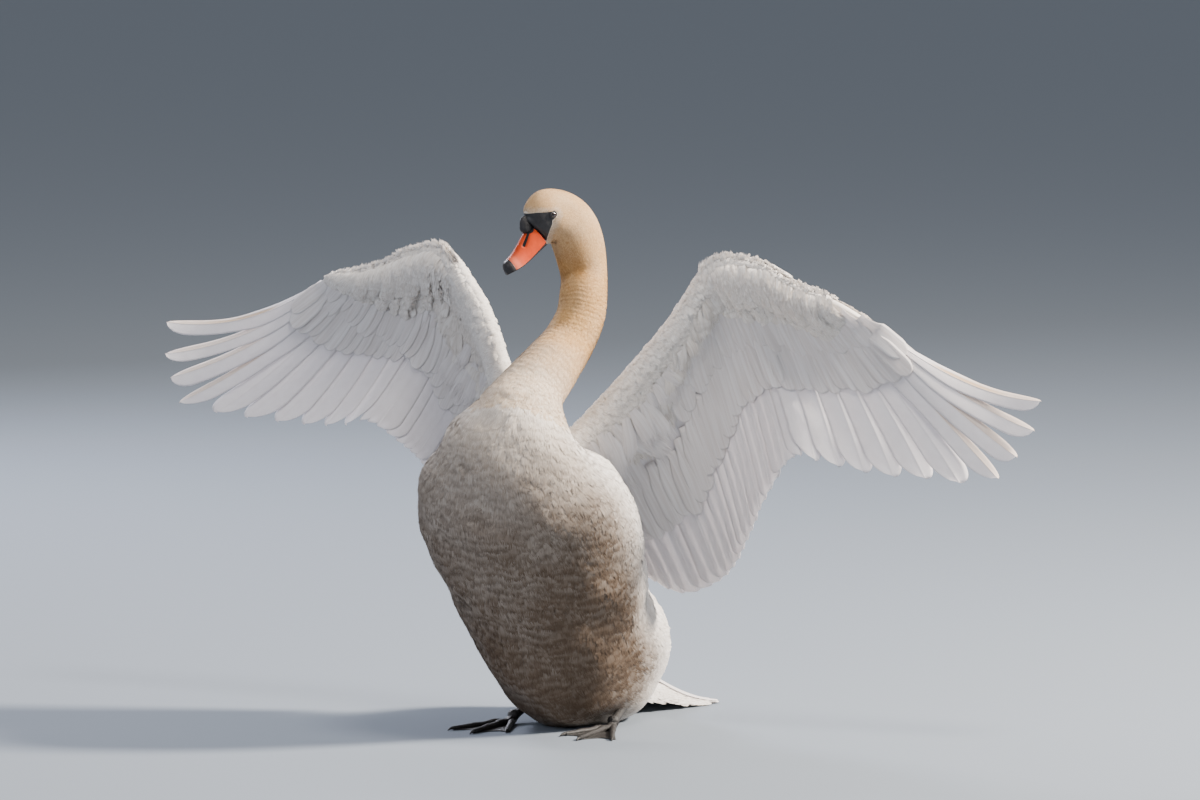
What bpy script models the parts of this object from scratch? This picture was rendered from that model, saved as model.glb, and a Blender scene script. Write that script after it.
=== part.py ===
"""Life-size mute swan that rears up with half-spread wings: its solid parts.

Units are metres, +Z is up, and the bird faces -Y, so its left side is at +X. The origin is on the
floor, on the flat that it sits on. The body is one swept form from tail to bill base,
parted by thin cuts. Each wing is one curved surface between a leading edge and a line of feather tips.
"""
import math

import bmesh
import bpy
import numpy as np
from mathutils import Matrix, Vector

GAP = 0.0003  # clearance between touching parts
MERGE = 0.00002  # points nearer than this after a cut are one point
VANE_GAP = 0.0012  # from the arm's soft covering to the bare vanes, along the feathers

# Head: the gape is the corner of the mouth on the midline; head sizes are forward of it and above it.
GAPE = np.array([-0.016, -0.120, 0.813])
HEAD_TURN = math.radians(35)  # towards the bird's right
HEAD_DROP = math.radians(34)  # bill below level

# Body stations from the tail root up to the neck's top: centre x, y, z, then half-sizes to the side,
# towards the back and towards the breast.
TRUNK = (
    (0.000, 0.165, 0.062, 0.055, 0.035, 0.052),  # tail root
    (0.000, 0.095, 0.100, 0.116, 0.120, 0.132),  # rump
    (0.000, -0.030, 0.170, 0.138, 0.145, 0.178),  # lower belly
    (-0.003, -0.105, 0.255, 0.162, 0.135, 0.163),  # belly
    (-0.006, -0.170, 0.345, 0.180, 0.132, 0.158),  # back
    (-0.006, -0.222, 0.425, 0.174, 0.118, 0.155),  # breast
    (-0.003, -0.243, 0.483, 0.130, 0.084, 0.125),  # shoulders
    (0.000, -0.232, 0.528, 0.083, 0.066, 0.084),  # neck base
    (0.004, -0.200, 0.569, 0.059, 0.057, 0.058),
    (0.018, -0.157, 0.608, 0.049, 0.048, 0.050),
    (0.029, -0.110, 0.647, 0.043, 0.043, 0.043),
    (0.038, -0.083, 0.688, 0.041, 0.041, 0.041),
    (0.037, -0.068, 0.729, 0.040, 0.040, 0.040),
)
# Head stations: forward of the gape, above it, then the same half-sizes.
HEAD = (
    (-0.037, -0.088, 0.040, 0.041, 0.040),  # neck top
    (-0.055, -0.033, 0.040, 0.049, 0.044),  # nape
    (-0.050, 0.006, 0.037, 0.051, 0.044),  # back of the crown
    (-0.025, 0.0215, 0.032, 0.0535, 0.042),  # eyes
    (-0.010, 0.0190, 0.026, 0.0395, 0.030),  # lores
    (-0.001, 0.0170, 0.0176, 0.0320, 0.0250),  # bill base
)
NECK_TURN_STARTS = 7  # station where the body starts to turn towards the head's heading
SIDES = 24  # points round a body section
STATION_STEP = 0.5  # between the sections of the body
CUTS = {  # node: first and last station
    "belly": (0.0, 3.4),
    "breast": (3.4, 7.0),
    "neck_lower": (7.0, 9.5),
    "neck_middle": (9.5, 11.5),
    "neck_upper": (11.5, 13.8),
    "head": (13.8, 18.0),
}

# Bill, in the head's own directions.
BILL_LENGTH = 0.083
NAIL_LENGTH = 0.015
BILL_SLANT = 0.13  # how far the base leans forward, per unit of height
BILL = (  # distance from the gape, half-width, then heights of the ridge, the mouth and the underside
    (0.000, 0.0170, 0.0340, 0.0000, -0.0085),
    (0.018, 0.0155, 0.0295, -0.0035, -0.0095),
    (0.038, 0.0145, 0.0215, -0.0065, -0.0110),
    (0.056, 0.0150, 0.0150, -0.0070, -0.0108),
    (0.070, 0.0145, 0.0120, -0.0055, -0.0085),
    (0.079, 0.0098, 0.0075, -0.0055, -0.0072),
    (0.083, 0.0036, 0.0000, -0.0060, -0.0066),
)
BILL_ROOT = 0.001  # where the bill's solids start, inside the head
LOWER_BILL_SHORTER = 0.003
LOWER_BILL_NARROWER = 0.92
KNOB = (0.0135, 0.0355)  # centre, forward of and above the gape
KNOB_SIZE = (0.0105, 0.0098, 0.0098)  # half-sizes to the side, forward and up
EYE = (-0.0315, 0.034)
EYE_RADIUS = 0.0065
EYE_SINK = 0.0046  # from the head's surface to the eye's centre

# Wings: outward x, y, z at each spanwise place. 0 is in the shoulder, 1 the wrist, 2 the hand's tip.
# The bow is how far the middle of the feathers stands outward, backward and up from the straight line.
WINGS = {
    "left": {
        "bow": (
            (0.0, 0.000, 0.030, 0.000),
            (0.5, -0.012, 0.045, 0.000),
            (1.0, -0.008, 0.045, 0.000),
            (1.5, 0.000, 0.030, -0.004),
            (2.0, 0.000, 0.018, -0.032),
        ),
        "edge": (
            (0.0, 0.030, -0.165, 0.475),
            (0.2, 0.073, -0.120, 0.531),
            (0.5, 0.167, -0.055, 0.657),
            (1.0, 0.260, 0.000, 0.783),
            (1.2, 0.318, 0.010, 0.778),
            (1.45, 0.388, 0.015, 0.743),
            (1.65, 0.443, 0.020, 0.725),
            (2.0, 0.507, 0.030, 0.690),
        ),
        "tips": (
            (0.00, 0.085, 0.062, 0.245),
            (0.20, 0.169, 0.050, 0.218),
            (0.35, 0.237, 0.035, 0.244),
            (0.60, 0.299, 0.015, 0.321),
            (0.80, 0.340, -0.005, 0.395),
            (1.00, 0.405, -0.027, 0.468),
            (1.10, 0.432, -0.015, 0.460),
            (1.40, 0.567, -0.003, 0.438),
            (1.50, 0.622, 0.000, 0.437),
            (1.60, 0.682, 0.000, 0.433),
            (1.70, 0.750, 0.000, 0.443),
            (1.80, 0.779, 0.010, 0.478),
            (1.90, 0.801, 0.030, 0.520),
            (2.00, 0.804, 0.050, 0.567),
        ),
    },
    "right": {
        "bow": (
            (0.0, 0.000, 0.030, 0.000),
            (0.5, -0.012, 0.045, 0.000),
            (1.0, -0.008, 0.045, 0.000),
            (1.5, 0.000, 0.030, -0.012),
            (2.0, 0.000, 0.018, -0.032),
        ),
        "edge": (
            (0.0, 0.030, -0.165, 0.475),
            (0.2, 0.073, -0.120, 0.535),
            (0.5, 0.149, -0.060, 0.675),
            (0.75, 0.196, -0.030, 0.733),
            (1.0, 0.260, 0.000, 0.786),
            (1.2, 0.315, 0.010, 0.778),
            (1.45, 0.384, 0.015, 0.750),
            (2.0, 0.485, 0.030, 0.730),
        ),
        "tips": (
            (0.00, 0.085, 0.062, 0.255),
            (0.20, 0.165, 0.048, 0.258),
            (0.35, 0.222, 0.035, 0.310),
            (0.60, 0.290, 0.005, 0.412),
            (0.80, 0.328, -0.010, 0.452),
            (1.00, 0.392, -0.027, 0.492),
            (1.10, 0.431, -0.015, 0.483),
            (1.40, 0.565, -0.003, 0.481),
            (1.50, 0.626, 0.000, 0.486),
            (1.60, 0.684, 0.000, 0.492),
            (1.70, 0.757, 0.000, 0.506),
            (1.80, 0.778, 0.010, 0.546),
            (1.90, 0.799, 0.030, 0.585),
            (2.00, 0.806, 0.050, 0.637),
        ),
    },
}
ARM_CHORD = ((0.0, 0.150), (0.4, 0.110), (0.8, 0.088), (1.0, 0.080), (1.5, 0.062), (2.0, 0.034))
ARM_THICK = ((0.0, 0.052), (0.5, 0.040), (1.0, 0.034), (1.5, 0.026), (2.0, 0.014))
ARM_REAR_THICK = 0.005
ARM_FULLNESS = ((0.0, 0.35), (0.10, 0.80), (0.30, 1.0), (0.60, 0.72), (1.0, 0.0))  # by share of the chord
ARM_PARTS = (0.0, 0.45, 1.0, 2.0)  # spans where the upper arm, forearm and hand start and end
ARM_CLEARANCE = 0.0016  # in span, between the arm's parts
VANE_THICK = 0.0016
PRIMARIES = 10
PRIMARY_PITCH = 0.1  # spanwise step from one primary to the next
SECONDARIES = (0.28, 1.045, 16)  # first and last spanwise place, number of feathers
TERTIALS = (0.03, 0.28, 4)
FAN_NOTCH = 0.022  # depth of the notches between the fan's tips, in chord
PRIMARY_HALF_WIDTH = 0.0215
FINGERS = {7: 0.0180, 8: 0.0182, 9: 0.0157, 10: 0.0142}  # half-widths of the outer primaries' free ends
FINGER_ROOT = 0.030  # half-width of an outer primary before it narrows
NARROWS = (0.60, 0.02)  # chord where the outermost primary narrows, and how much later each next one does
PRIMARY_ROWS = (0.0, 0.25, 0.5, 0.68, 0.88, 0.96, 1.0)
PRIMARY_TIP = ((0.0, 1.0), (0.88, 1.0), (0.96, 0.75), (1.0, 0.15))  # width by share of the length

# Tail, laid on the floor: a wedge of coverts that thins to a scalloped fan.
TAIL_START = 0.115  # behind the origin, inside the rump
TAIL_LENGTH = 0.235
TAIL_HALF_WIDTH = (0.066, 0.118)  # at the start and at the tips
TAIL_HEIGHT = (0.118, 0.004)
TAIL_FEATHERS = 11
TAIL_NOTCH = 0.96  # length between two feathers' tips, as a share of theirs
TAIL_ROUNDING = 0.16  # how much shorter the outermost feathers are

# Legs, folded under the belly. The places are for the left leg.
FOOT_JOINT = Vector((0.092, -0.070, 0.0125))
HOCK = Vector((0.078, 0.040, 0.046))
SHANK_RADIUS = (0.0085, 0.0068, 0.0105)  # at the foot, the middle and the hock
JOINT_RADIUS = 0.0105
TOES = (  # name, turn outward in degrees, length, radius at the root
    ("inner", -20, 0.112, 0.0060),
    ("middle", 2, 0.142, 0.0068),
    ("outer", 24, 0.130, 0.0062),
)
TOE_ROWS = ((0.0, 1.0), (0.36, 0.96), (0.76, 0.84), (1.0, 0.55))  # thickness by share of the length
HEEL = 0.008  # web behind and beside the joint
WEB_THICK = 0.003
WEB_NOTCH = 0.16  # how far the web's edge draws back between two toes
CLAW_LENGTH = 0.013
CLAW_TIP = (0.0015, 0.0010)  # height and radius

COLOURS = {  # base colour, roughness
    "plumage": ((0.86, 0.84, 0.80), 0.85),
    "neck_plumage": ((0.80, 0.66, 0.45), 0.85),
    "bill_orange": ((0.85, 0.22, 0.07), 0.45),
    "black_skin": ((0.02, 0.02, 0.02), 0.55),
    "eye": ((0.02, 0.012, 0.01), 0.08),
    "leg_skin": ((0.03, 0.03, 0.03), 0.6),
}


def clear_scene():
    for old in list(bpy.data.objects):
        bpy.data.objects.remove(old)


def spline(table, at):
    """Values at the places `at` of a smooth curve through the rows of a table, whose first column is
    the place: a cubic between rows, with each row's slope taken from its neighbours."""
    rows = np.asarray(table, float)
    knots, values = rows[:, 0], rows[:, 1:]
    slopes = np.gradient(values, knots, axis=0)
    at = np.asarray(at, float)
    i = np.clip(np.searchsorted(knots, at, side="right") - 1, 0, len(knots) - 2)
    step = (knots[i + 1] - knots[i])[..., None]
    t = (at - knots[i])[..., None] / step
    return (
        (2 * t**3 - 3 * t**2 + 1) * values[i]
        + (t**3 - 2 * t**2 + t) * step * slopes[i]
        + (3 * t**2 - 2 * t**3) * values[i + 1]
        + (t**3 - t**2) * step * slopes[i + 1]
    )


def unit(vectors):
    return vectors / np.linalg.norm(vectors, axis=-1, keepdims=True)


def head_axes():
    """Forward along the bill, up and left, for the turned and lowered head."""
    level = np.array([-math.sin(HEAD_TURN), -math.cos(HEAD_TURN), 0.0])
    up = np.array([0.0, 0.0, 1.0])
    forward = level * math.cos(HEAD_DROP) - up * math.sin(HEAD_DROP)
    left = np.array([math.cos(HEAD_TURN), -math.sin(HEAD_TURN), 0.0])
    return forward, level * math.sin(HEAD_DROP) + up * math.cos(HEAD_DROP), left


FORWARD, UPWARD, LEFTWARD = head_axes()


def head_place(ahead, above, aside=0.0):
    return GAPE + ahead * FORWARD + above * UPWARD + aside * LEFTWARD


def body_stations():
    """Rows of station, centre, side, back and breast half-sizes, and turn, tail root to bill base."""
    rows = [*TRUNK, *[(*head_place(ahead, above), *sizes) for ahead, above, *sizes in HEAD]]
    turned = len(TRUNK)
    table = []
    for i, row in enumerate(rows):
        share = min(max((i - NECK_TURN_STARTS) / (turned - NECK_TURN_STARTS), 0), 1)
        table.append((i, *row, HEAD_TURN * share))
    return np.array(table)


STATIONS = body_stations()


def body_section(station, angles):
    """Points of one section of the body. Angle 0 is the back, a quarter turn the left side."""
    nudge = 0.02
    values = spline(STATIONS, station)
    ahead = spline(STATIONS, min(station + nudge, STATIONS[-1, 0]))
    behind = spline(STATIONS, max(station - nudge, 0))
    tangent = unit(ahead[:3] - behind[:3])
    side, back, breast, turn = values[3:]
    left = np.array([math.cos(turn), -math.sin(turn), 0.0])
    left = unit(left - tangent * (left @ tangent))
    dorsal = np.cross(tangent, left)
    depth = np.where(np.cos(angles) > 0, back, breast)
    return (
        values[:3]
        + np.outer(side * np.sin(angles), left)
        + np.outer(depth * np.cos(angles), dorsal)
    )


def new_mesh_object(name, points, faces):
    mesh = bpy.data.meshes.new(name)
    mesh.from_pydata([tuple(p) for p in points], [], faces)
    mesh.update()
    return bpy.data.objects.new(name, mesh)


def loft(name, rings):
    """Closed solid through rings of equal point counts, capped flat at both ends."""
    rings = np.asarray(rings)
    count, around = rings.shape[:2]
    faces = [tuple(range(around)), tuple(range(count * around - 1, (count - 1) * around - 1, -1))]
    for i in range(count - 1):
        for j in range(around):
            k = (j + 1) % around
            a, b = i * around, (i + 1) * around
            faces.append((a + j, b + j, b + k, a + k))
    made = new_mesh_object(name, rings.reshape(-1, 3), faces)
    face_out(made)
    return made


def slab(name, front, back):
    """Closed solid between two grids of points that match."""
    front, back = np.asarray(front), np.asarray(back)
    rows, columns = front.shape[:2]
    half = rows * columns
    faces = []
    for i in range(rows - 1):
        for j in range(columns - 1):
            a = i * columns + j
            quad = (a, a + 1, a + columns + 1, a + columns)
            faces.append(quad)
            faces.append(tuple(half + corner for corner in reversed(quad)))
    rim = list(range(columns))
    rim += [i * columns + columns - 1 for i in range(1, rows)]
    rim += [(rows - 1) * columns + j for j in range(columns - 2, -1, -1)]
    rim += [i * columns for i in range(rows - 2, 0, -1)]
    for a, b in zip(rim, rim[1:] + rim[:1]):
        faces.append((b, a, half + a, half + b))
    made = new_mesh_object(name, np.concatenate([front.reshape(-1, 3), back.reshape(-1, 3)]), faces)
    face_out(made)
    return made


def face_out(obj):
    shape = bmesh.new()
    shape.from_mesh(obj.data)
    bmesh.ops.recalc_face_normals(shape, faces=shape.faces)
    shape.to_mesh(obj.data)
    shape.free()


def finished(obj, parts, colour):
    """Puts the object among the parts, with its material."""
    if colour not in bpy.data.materials:
        base, rough = COLOURS[colour]
        material = bpy.data.materials.new(colour)
        material.use_nodes = True
        shader = material.node_tree.nodes["Principled BSDF"]
        shader.inputs["Base Color"].default_value = (*base, 1.0)
        shader.inputs["Roughness"].default_value = rough
        shader.inputs["Metallic"].default_value = 0.0
    obj.data.materials.clear()
    obj.data.materials.append(bpy.data.materials[colour])
    obj.data.shade_smooth()
    parts.objects.link(obj)
    return obj


def as_mesh(obj):
    """A new mesh object with the shape that obj's modifiers and curve settings make, at its place."""
    scene = bpy.context.scene.collection
    linked = obj.name in bpy.context.view_layer.objects
    if not linked:
        scene.objects.link(obj)
    bpy.context.view_layer.update()
    graph = bpy.context.evaluated_depsgraph_get()
    mesh = bpy.data.meshes.new_from_object(obj.evaluated_get(graph))
    mesh.transform(obj.matrix_world)
    if not linked:
        scene.objects.unlink(obj)
    shape = bmesh.new()
    shape.from_mesh(mesh)
    bmesh.ops.triangulate(shape, faces=shape.faces)
    bmesh.ops.remove_doubles(shape, verts=shape.verts, dist=MERGE)
    bmesh.ops.dissolve_degenerate(shape, edges=shape.edges, dist=MERGE)
    shape.to_mesh(mesh)
    shape.free()
    return bpy.data.objects.new(obj.name + "_solid", mesh)


def combined(target, other, operation, clearance=0.0):
    """Target with other cut away or joined on. A cutter is first grown by the clearance."""
    tool = bpy.data.objects.new("tool", other.data.copy())
    if clearance:
        grow = tool.modifiers.new("grow", "DISPLACE")
        grow.strength = clearance
        grow.mid_level = 0.0
        grown = as_mesh(tool)
        bpy.data.objects.remove(tool)
        tool = grown
    bpy.context.scene.collection.objects.link(tool)
    change = target.modifiers.new("change", "BOOLEAN")
    change.object = tool
    change.operation = operation
    result = as_mesh(target)
    name = target.name
    bpy.data.objects.remove(target)
    bpy.data.objects.remove(tool)
    result.name = name
    result.data.name = name
    return result


def largest_piece(obj):
    """Drops loose crumbs that a cut may leave, and keeps the piece with the most faces."""
    shape = bmesh.new()
    shape.from_mesh(obj.data)
    left = set(shape.verts)
    pieces = []
    while left:
        stack, piece = [left.pop()], []
        while stack:
            vert = stack.pop()
            piece.append(vert)
            for edge in vert.link_edges:
                other = edge.other_vert(vert)
                if other in left:
                    left.remove(other)
                    stack.append(other)
        pieces.append(piece)
    pieces.sort(key=len)
    for piece in pieces[:-1]:
        bmesh.ops.delete(shape, geom=piece, context="VERTS")
    shape.to_mesh(obj.data)
    shape.free()
    return obj


def cut_at_floor(obj):
    """Removes what is below the floor and leaves a flat there."""
    shape = bmesh.new()
    bmesh.ops.create_cube(shape, size=2.0, matrix=Matrix.Translation((0, 0, -1)))
    mesh = bpy.data.meshes.new("floor")
    shape.to_mesh(mesh)
    shape.free()
    floor = bpy.data.objects.new("floor", mesh)
    return combined(obj, floor, "DIFFERENCE")


def body_parts():
    """The swept body, parted by thin cuts between its stations."""
    angles = np.linspace(0, 2 * math.pi, SIDES, endpoint=False)
    made = {}
    for name, (first, last) in CUTS.items():
        count = max(round((last - first) / STATION_STEP) + 1, 4)
        length = np.linalg.norm(spline(STATIONS, first)[:3] - spline(STATIONS, first + 0.1)[:3])
        clear = GAP / length * 0.1
        start = first + (clear if first > 0 else 0)
        rings = [body_section(s, angles) for s in np.linspace(start, last, count)]
        made[name] = loft(name, rings)
    made["belly"] = cut_at_floor(made["belly"])
    return made


def bill_ring(along, upper, corners=9):
    """One section of the upper or lower bill. The base leans forward with height, the tip doesn't."""
    half_width, ridge, mouth, under = spline(BILL, along)
    lean = BILL_SLANT * (1 - along / BILL_LENGTH)
    turn = np.linspace(0, math.pi, corners)
    if upper:
        across = half_width * np.cos(turn)
        above = mouth + (ridge - mouth) * np.sin(turn) ** 0.8
    else:
        across = LOWER_BILL_NARROWER * half_width * np.cos(turn)
        above = mouth - GAP - (mouth - under) * np.sin(turn) ** 0.7
    ahead = along + lean * above
    return (
        GAPE
        + np.outer(ahead, FORWARD)
        + np.outer(above, UPWARD)
        + np.outer(across, LEFTWARD)
    )


def bill_parts(head):
    """Upper bill, its nail, lower bill and the knob on the forehead."""
    nail_starts = BILL_LENGTH - NAIL_LENGTH
    places = np.linspace(BILL_ROOT, nail_starts, 9)
    upper = loft("bill_upper", [bill_ring(x, True) for x in places])
    places = np.linspace(nail_starts + GAP, BILL_LENGTH, 5)
    nail = loft("bill_nail", [bill_ring(x, True) for x in places])
    places = np.linspace(BILL_ROOT, BILL_LENGTH - LOWER_BILL_SHORTER, 11)
    lower = loft("bill_lower", [bill_ring(x, False) for x in places])
    upper = largest_piece(combined(upper, head, "DIFFERENCE", GAP))
    lower = largest_piece(combined(lower, head, "DIFFERENCE", GAP))
    knob = ball("bill_knob", (0, 0, 0), 1.0, 14)
    aside, ahead, above = KNOB_SIZE
    shape = Matrix([LEFTWARD * aside, FORWARD * ahead, UPWARD * above]).transposed().to_4x4()
    knob.data.transform(Matrix.Translation(head_place(*KNOB)) @ shape)
    knob = combined(knob, head, "DIFFERENCE", GAP)
    knob = combined(knob, upper, "DIFFERENCE", GAP)
    return upper, nail, lower, largest_piece(knob)


def ball(name, centre, radius, around=12, tall=8):
    """A sphere round the centre."""
    shape = bmesh.new()
    bmesh.ops.create_uvsphere(shape, u_segments=around, v_segments=tall, radius=radius)
    mesh = bpy.data.meshes.new(name)
    shape.to_mesh(mesh)
    shape.free()
    mesh.transform(Matrix.Translation(Vector(centre)))
    return bpy.data.objects.new(name, mesh)


def eye_centre(side):
    """Centre of an eye: just inside the head's surface, level with the eye's place."""
    angles = np.linspace(0, 2 * math.pi, 721)
    best = None
    for station in np.linspace(14.5, 17, 101):
        ring = body_section(station, angles) - GAPE
        miss = np.hypot(ring @ FORWARD - EYE[0], ring @ UPWARD - EYE[1])
        miss[ring @ LEFTWARD * side < 0] = 1
        i = int(np.argmin(miss))
        if best is None or miss[i] < best[0]:
            best = (miss[i], abs(ring[i] @ LEFTWARD))
    return head_place(*EYE, side * (best[1] - EYE_SINK))


def wing_surface(side, span, chord):
    """Points of a wing. Span is 0 in the shoulder, 1 at the wrist and 2 at the hand's tip; chord is 0
    on the leading edge and 1 at the feather tips. A row of feathers bows between them."""
    shape = WINGS[side]
    span, chord = np.broadcast_arrays(np.asarray(span, float), np.asarray(chord, float))
    edge, tips = spline(shape["edge"], span), spline(shape["tips"], span)
    bow = spline(shape["bow"], span)
    c = chord[..., None]
    points = (1 - c) * edge + c * tips + 4 * c * (1 - c) * bow
    return points * np.array([1.0 if side == "left" else -1.0, 1.0, 1.0])


def wing_normal(side, span, chord):
    """Unit vectors square to the wing, towards its upper side, which faces back."""
    small = 1e-3
    along = wing_surface(side, span + small, chord) - wing_surface(side, span - small, chord)
    across = wing_surface(side, span, chord + small) - wing_surface(side, span, chord - small)
    normal = unit(np.cross(along, across))
    return normal * np.where(normal[..., 1:2] < 0, -1.0, 1.0)


def ray_length(side, span):
    return np.linalg.norm(wing_surface(side, span, 1.0) - wing_surface(side, span, 0.0), axis=-1)


def arm_share(side, span):
    """Chord at which the arm's soft covering ends and the bare vanes start."""
    return spline(ARM_CHORD, span)[..., 0] / ray_length(side, span)


def arm_part(name, side, spans):
    """A length of the arm: a rounded leading edge that thins towards the feathers."""
    share, fullness = np.array(ARM_FULLNESS).T
    s, f = np.meshgrid(spans, share, indexing="ij")
    chord = f * arm_share(side, s)
    thick = spline(ARM_THICK, s)[..., 0]
    half = (ARM_REAR_THICK + (thick - ARM_REAR_THICK) * fullness) / 2
    middle = wing_surface(side, s, chord)
    normal = wing_normal(side, s, np.maximum(chord, 0.002))
    offset = normal * half[..., None]
    return slab(name, middle - offset, middle + offset)


def vane_part(name, side, spans, chords):
    """A thin curved plate over a grid of wing places."""
    middle = wing_surface(side, spans, chords)
    offset = wing_normal(side, spans, chords) * (VANE_THICK / 2)
    return slab(name, middle - offset, middle + offset)


def feather_fan(name, side, first, last, feathers):
    """Side by side feathers as one plate, with a scalloped edge of rounded tips."""
    columns = np.linspace(first, last, 2 * feathers + 1)
    notch = np.where(np.arange(len(columns)) % 2 == 0, FAN_NOTCH, 0.0)
    rows = np.linspace(0, 1, 5)
    start = arm_share(side, columns) + VANE_GAP / ray_length(side, columns)
    s = np.repeat(columns[:, None], len(rows), axis=1)
    c = start[:, None] + (1 - notch - start)[:, None] * rows[None, :]
    return vane_part(name, side, s, c)


def primary(name, side, number):
    """One primary. Near the hand it fills its share of the fan; its free end has its own width."""
    span = 1.0 + number * PRIMARY_PITCH
    rows = np.array(PRIMARY_ROWS)
    base = span + PRIMARY_PITCH / 2 * np.array([-1.0, 0.0, 1.0])
    starts = (arm_share(side, base) + VANE_GAP / ray_length(side, base))[:, None]
    chords = starts + (1 - starts) * rows
    chord = chords[1]
    small = 1e-3
    there = wing_surface(side, span + small, chord) - wing_surface(side, span - small, chord)
    per_span = np.linalg.norm(there, axis=-1) / (2 * small)
    if number in FINGERS:
        narrows = NARROWS[0] + NARROWS[1] * (PRIMARIES - number)
        width = np.where(rows > narrows, FINGERS[number], FINGER_ROOT)
    else:
        width = np.full_like(rows, PRIMARY_HALF_WIDTH)
    width = width * np.interp(rows, *np.array(PRIMARY_TIP).T)
    room = PRIMARY_PITCH / 2 * per_span - GAP
    half = np.minimum(width, room) / per_span
    spans = np.stack([span - half, np.full_like(half, span), span + half], axis=0)
    return vane_part(name, side, spans, chords)


def wing_parts(side, belly, breast):
    made = {}
    shoulder, elbow, wrist, tip = ARM_PARTS
    between = wrist + PRIMARY_PITCH * (np.arange(PRIMARIES - 1) + 0.5)
    lengths = {
        "upper_arm": np.linspace(shoulder, elbow, 7),
        "forearm": np.linspace(elbow + ARM_CLEARANCE, wrist, 9),
        "hand": np.concatenate([[wrist + ARM_CLEARANCE], between, [tip]]),
    }
    for part, spans in lengths.items():
        name = f"wing_{side}_{part}"
        made[name] = arm_part(name, side, spans)
    fans = {"tertials": TERTIALS, "secondaries": SECONDARIES}
    for part, (first, last, feathers) in fans.items():
        name = f"wing_{side}_{part}"
        made[name] = feather_fan(name, side, first + ARM_CLEARANCE, last, feathers)
    for number in range(1, PRIMARIES + 1):
        name = f"wing_{side}_primary_{number:02d}"
        made[name] = primary(name, side, number)
    for part in ("upper_arm", "tertials"):
        name = f"wing_{side}_{part}"
        for trunk in (belly, breast):
            made[name] = combined(made[name], trunk, "DIFFERENCE", 3 * GAP)
        largest_piece(made[name])
    return made


def tail_part(belly):
    """Tail, flat below and domed above, with a scalloped end, cut back from the rump."""
    across = np.linspace(-1, 1, 2 * TAIL_FEATHERS + 1)[:, None]
    along = np.linspace(0, 1, 5)[None, :]
    notched = np.arange(len(across)) % 2 == 0
    edge = np.where(notched, TAIL_NOTCH, 1.0)[:, None] - TAIL_ROUNDING * across**2
    first, last = TAIL_HALF_WIDTH
    x = across * (first + (last - first) * along)
    y = TAIL_START + TAIL_LENGTH * along * edge
    root, tip = TAIL_HEIGHT
    dome = (1 - along) ** 1.5 * np.sqrt(1.04 - across**2)
    top = np.stack([x, y, tip + (root - tip) * dome], axis=-1)
    under = np.stack([x, y, np.zeros_like(x)], axis=-1)
    tail = slab("tail", top, under)
    return largest_piece(combined(tail, belly, "DIFFERENCE", 3 * GAP))


def tube(name, points, radii):
    """A tapered round rod through the points."""
    curve = bpy.data.curves.new(name, "CURVE")
    curve.dimensions = "3D"
    curve.bevel_depth = 1.0
    curve.bevel_resolution = 1
    curve.use_fill_caps = True
    line = curve.splines.new("POLY")
    line.points.add(len(points) - 1)
    for point, place, radius in zip(line.points, points, radii):
        point.co = (*place, 1.0)
        point.radius = radius
    rod = bpy.data.objects.new(name, curve)
    solid = as_mesh(rod)
    bpy.data.objects.remove(rod)
    solid.name = name
    return solid


def foot_part(side):
    """Webbed foot flat on the floor: a web with scalloped edges, three toes with claws, a joint."""
    name = "foot_left" if side > 0 else "foot_right"
    joint = Vector((side * FOOT_JOINT.x, FOOT_JOINT.y, FOOT_JOINT.z))

    def reach(turn, length, height):
        turn = math.radians(turn) * side
        return Vector((joint.x + length * math.sin(turn), joint.y - length * math.cos(turn), height))

    first, last = TOES[0], TOES[-1]
    outline = [reach(turn, HEEL, 0) for turn in (-90, 180, 90)]
    outline.append(reach(last[1] + 6, last[2] * 0.55, 0))
    outline.append(reach(last[1], last[2], 0))
    for outer, inner in zip(TOES[::-1], TOES[-2::-1]):
        for share in (0.25, 0.5, 0.75):
            turn = outer[1] + (inner[1] - outer[1]) * share
            length = outer[2] + (inner[2] - outer[2]) * share
            outline.append(reach(turn, length * (1 - WEB_NOTCH * math.sin(math.pi * share)), 0))
        outline.append(reach(inner[1], inner[2], 0))
    outline.append(reach(first[1] - 6, first[2] * 0.55, 0))
    rim = np.array(outline)
    web = loft("web", [rim, rim + np.array([0, 0, WEB_THICK])])
    for _, turn, length, radius in TOES:
        points = [reach(turn, length * share, radius * 0.75) for share, _ in TOE_ROWS]
        radii = [radius * thickness for _, thickness in TOE_ROWS]
        points.append(reach(turn, length + CLAW_LENGTH, CLAW_TIP[0]))
        radii.append(CLAW_TIP[1])
        web = combined(web, tube("toe", points, radii), "UNION")
    web = combined(web, ball("joint", joint, JOINT_RADIUS), "UNION")
    web.name = name
    return cut_at_floor(largest_piece(web))


def shank_part(side):
    """The bare leg from the foot's joint to the hock, which is tucked into the belly."""
    name = "leg_left" if side > 0 else "leg_right"
    foot = Vector((side * FOOT_JOINT.x, FOOT_JOINT.y, FOOT_JOINT.z))
    hock = Vector((side * HOCK.x, HOCK.y, HOCK.z))
    along = (hock - foot).normalized()
    start = foot + along * (JOINT_RADIUS + GAP * 2)
    middle = (start + hock) / 2
    return tube(name, [start, middle, hock], SHANK_RADIUS)


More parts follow.
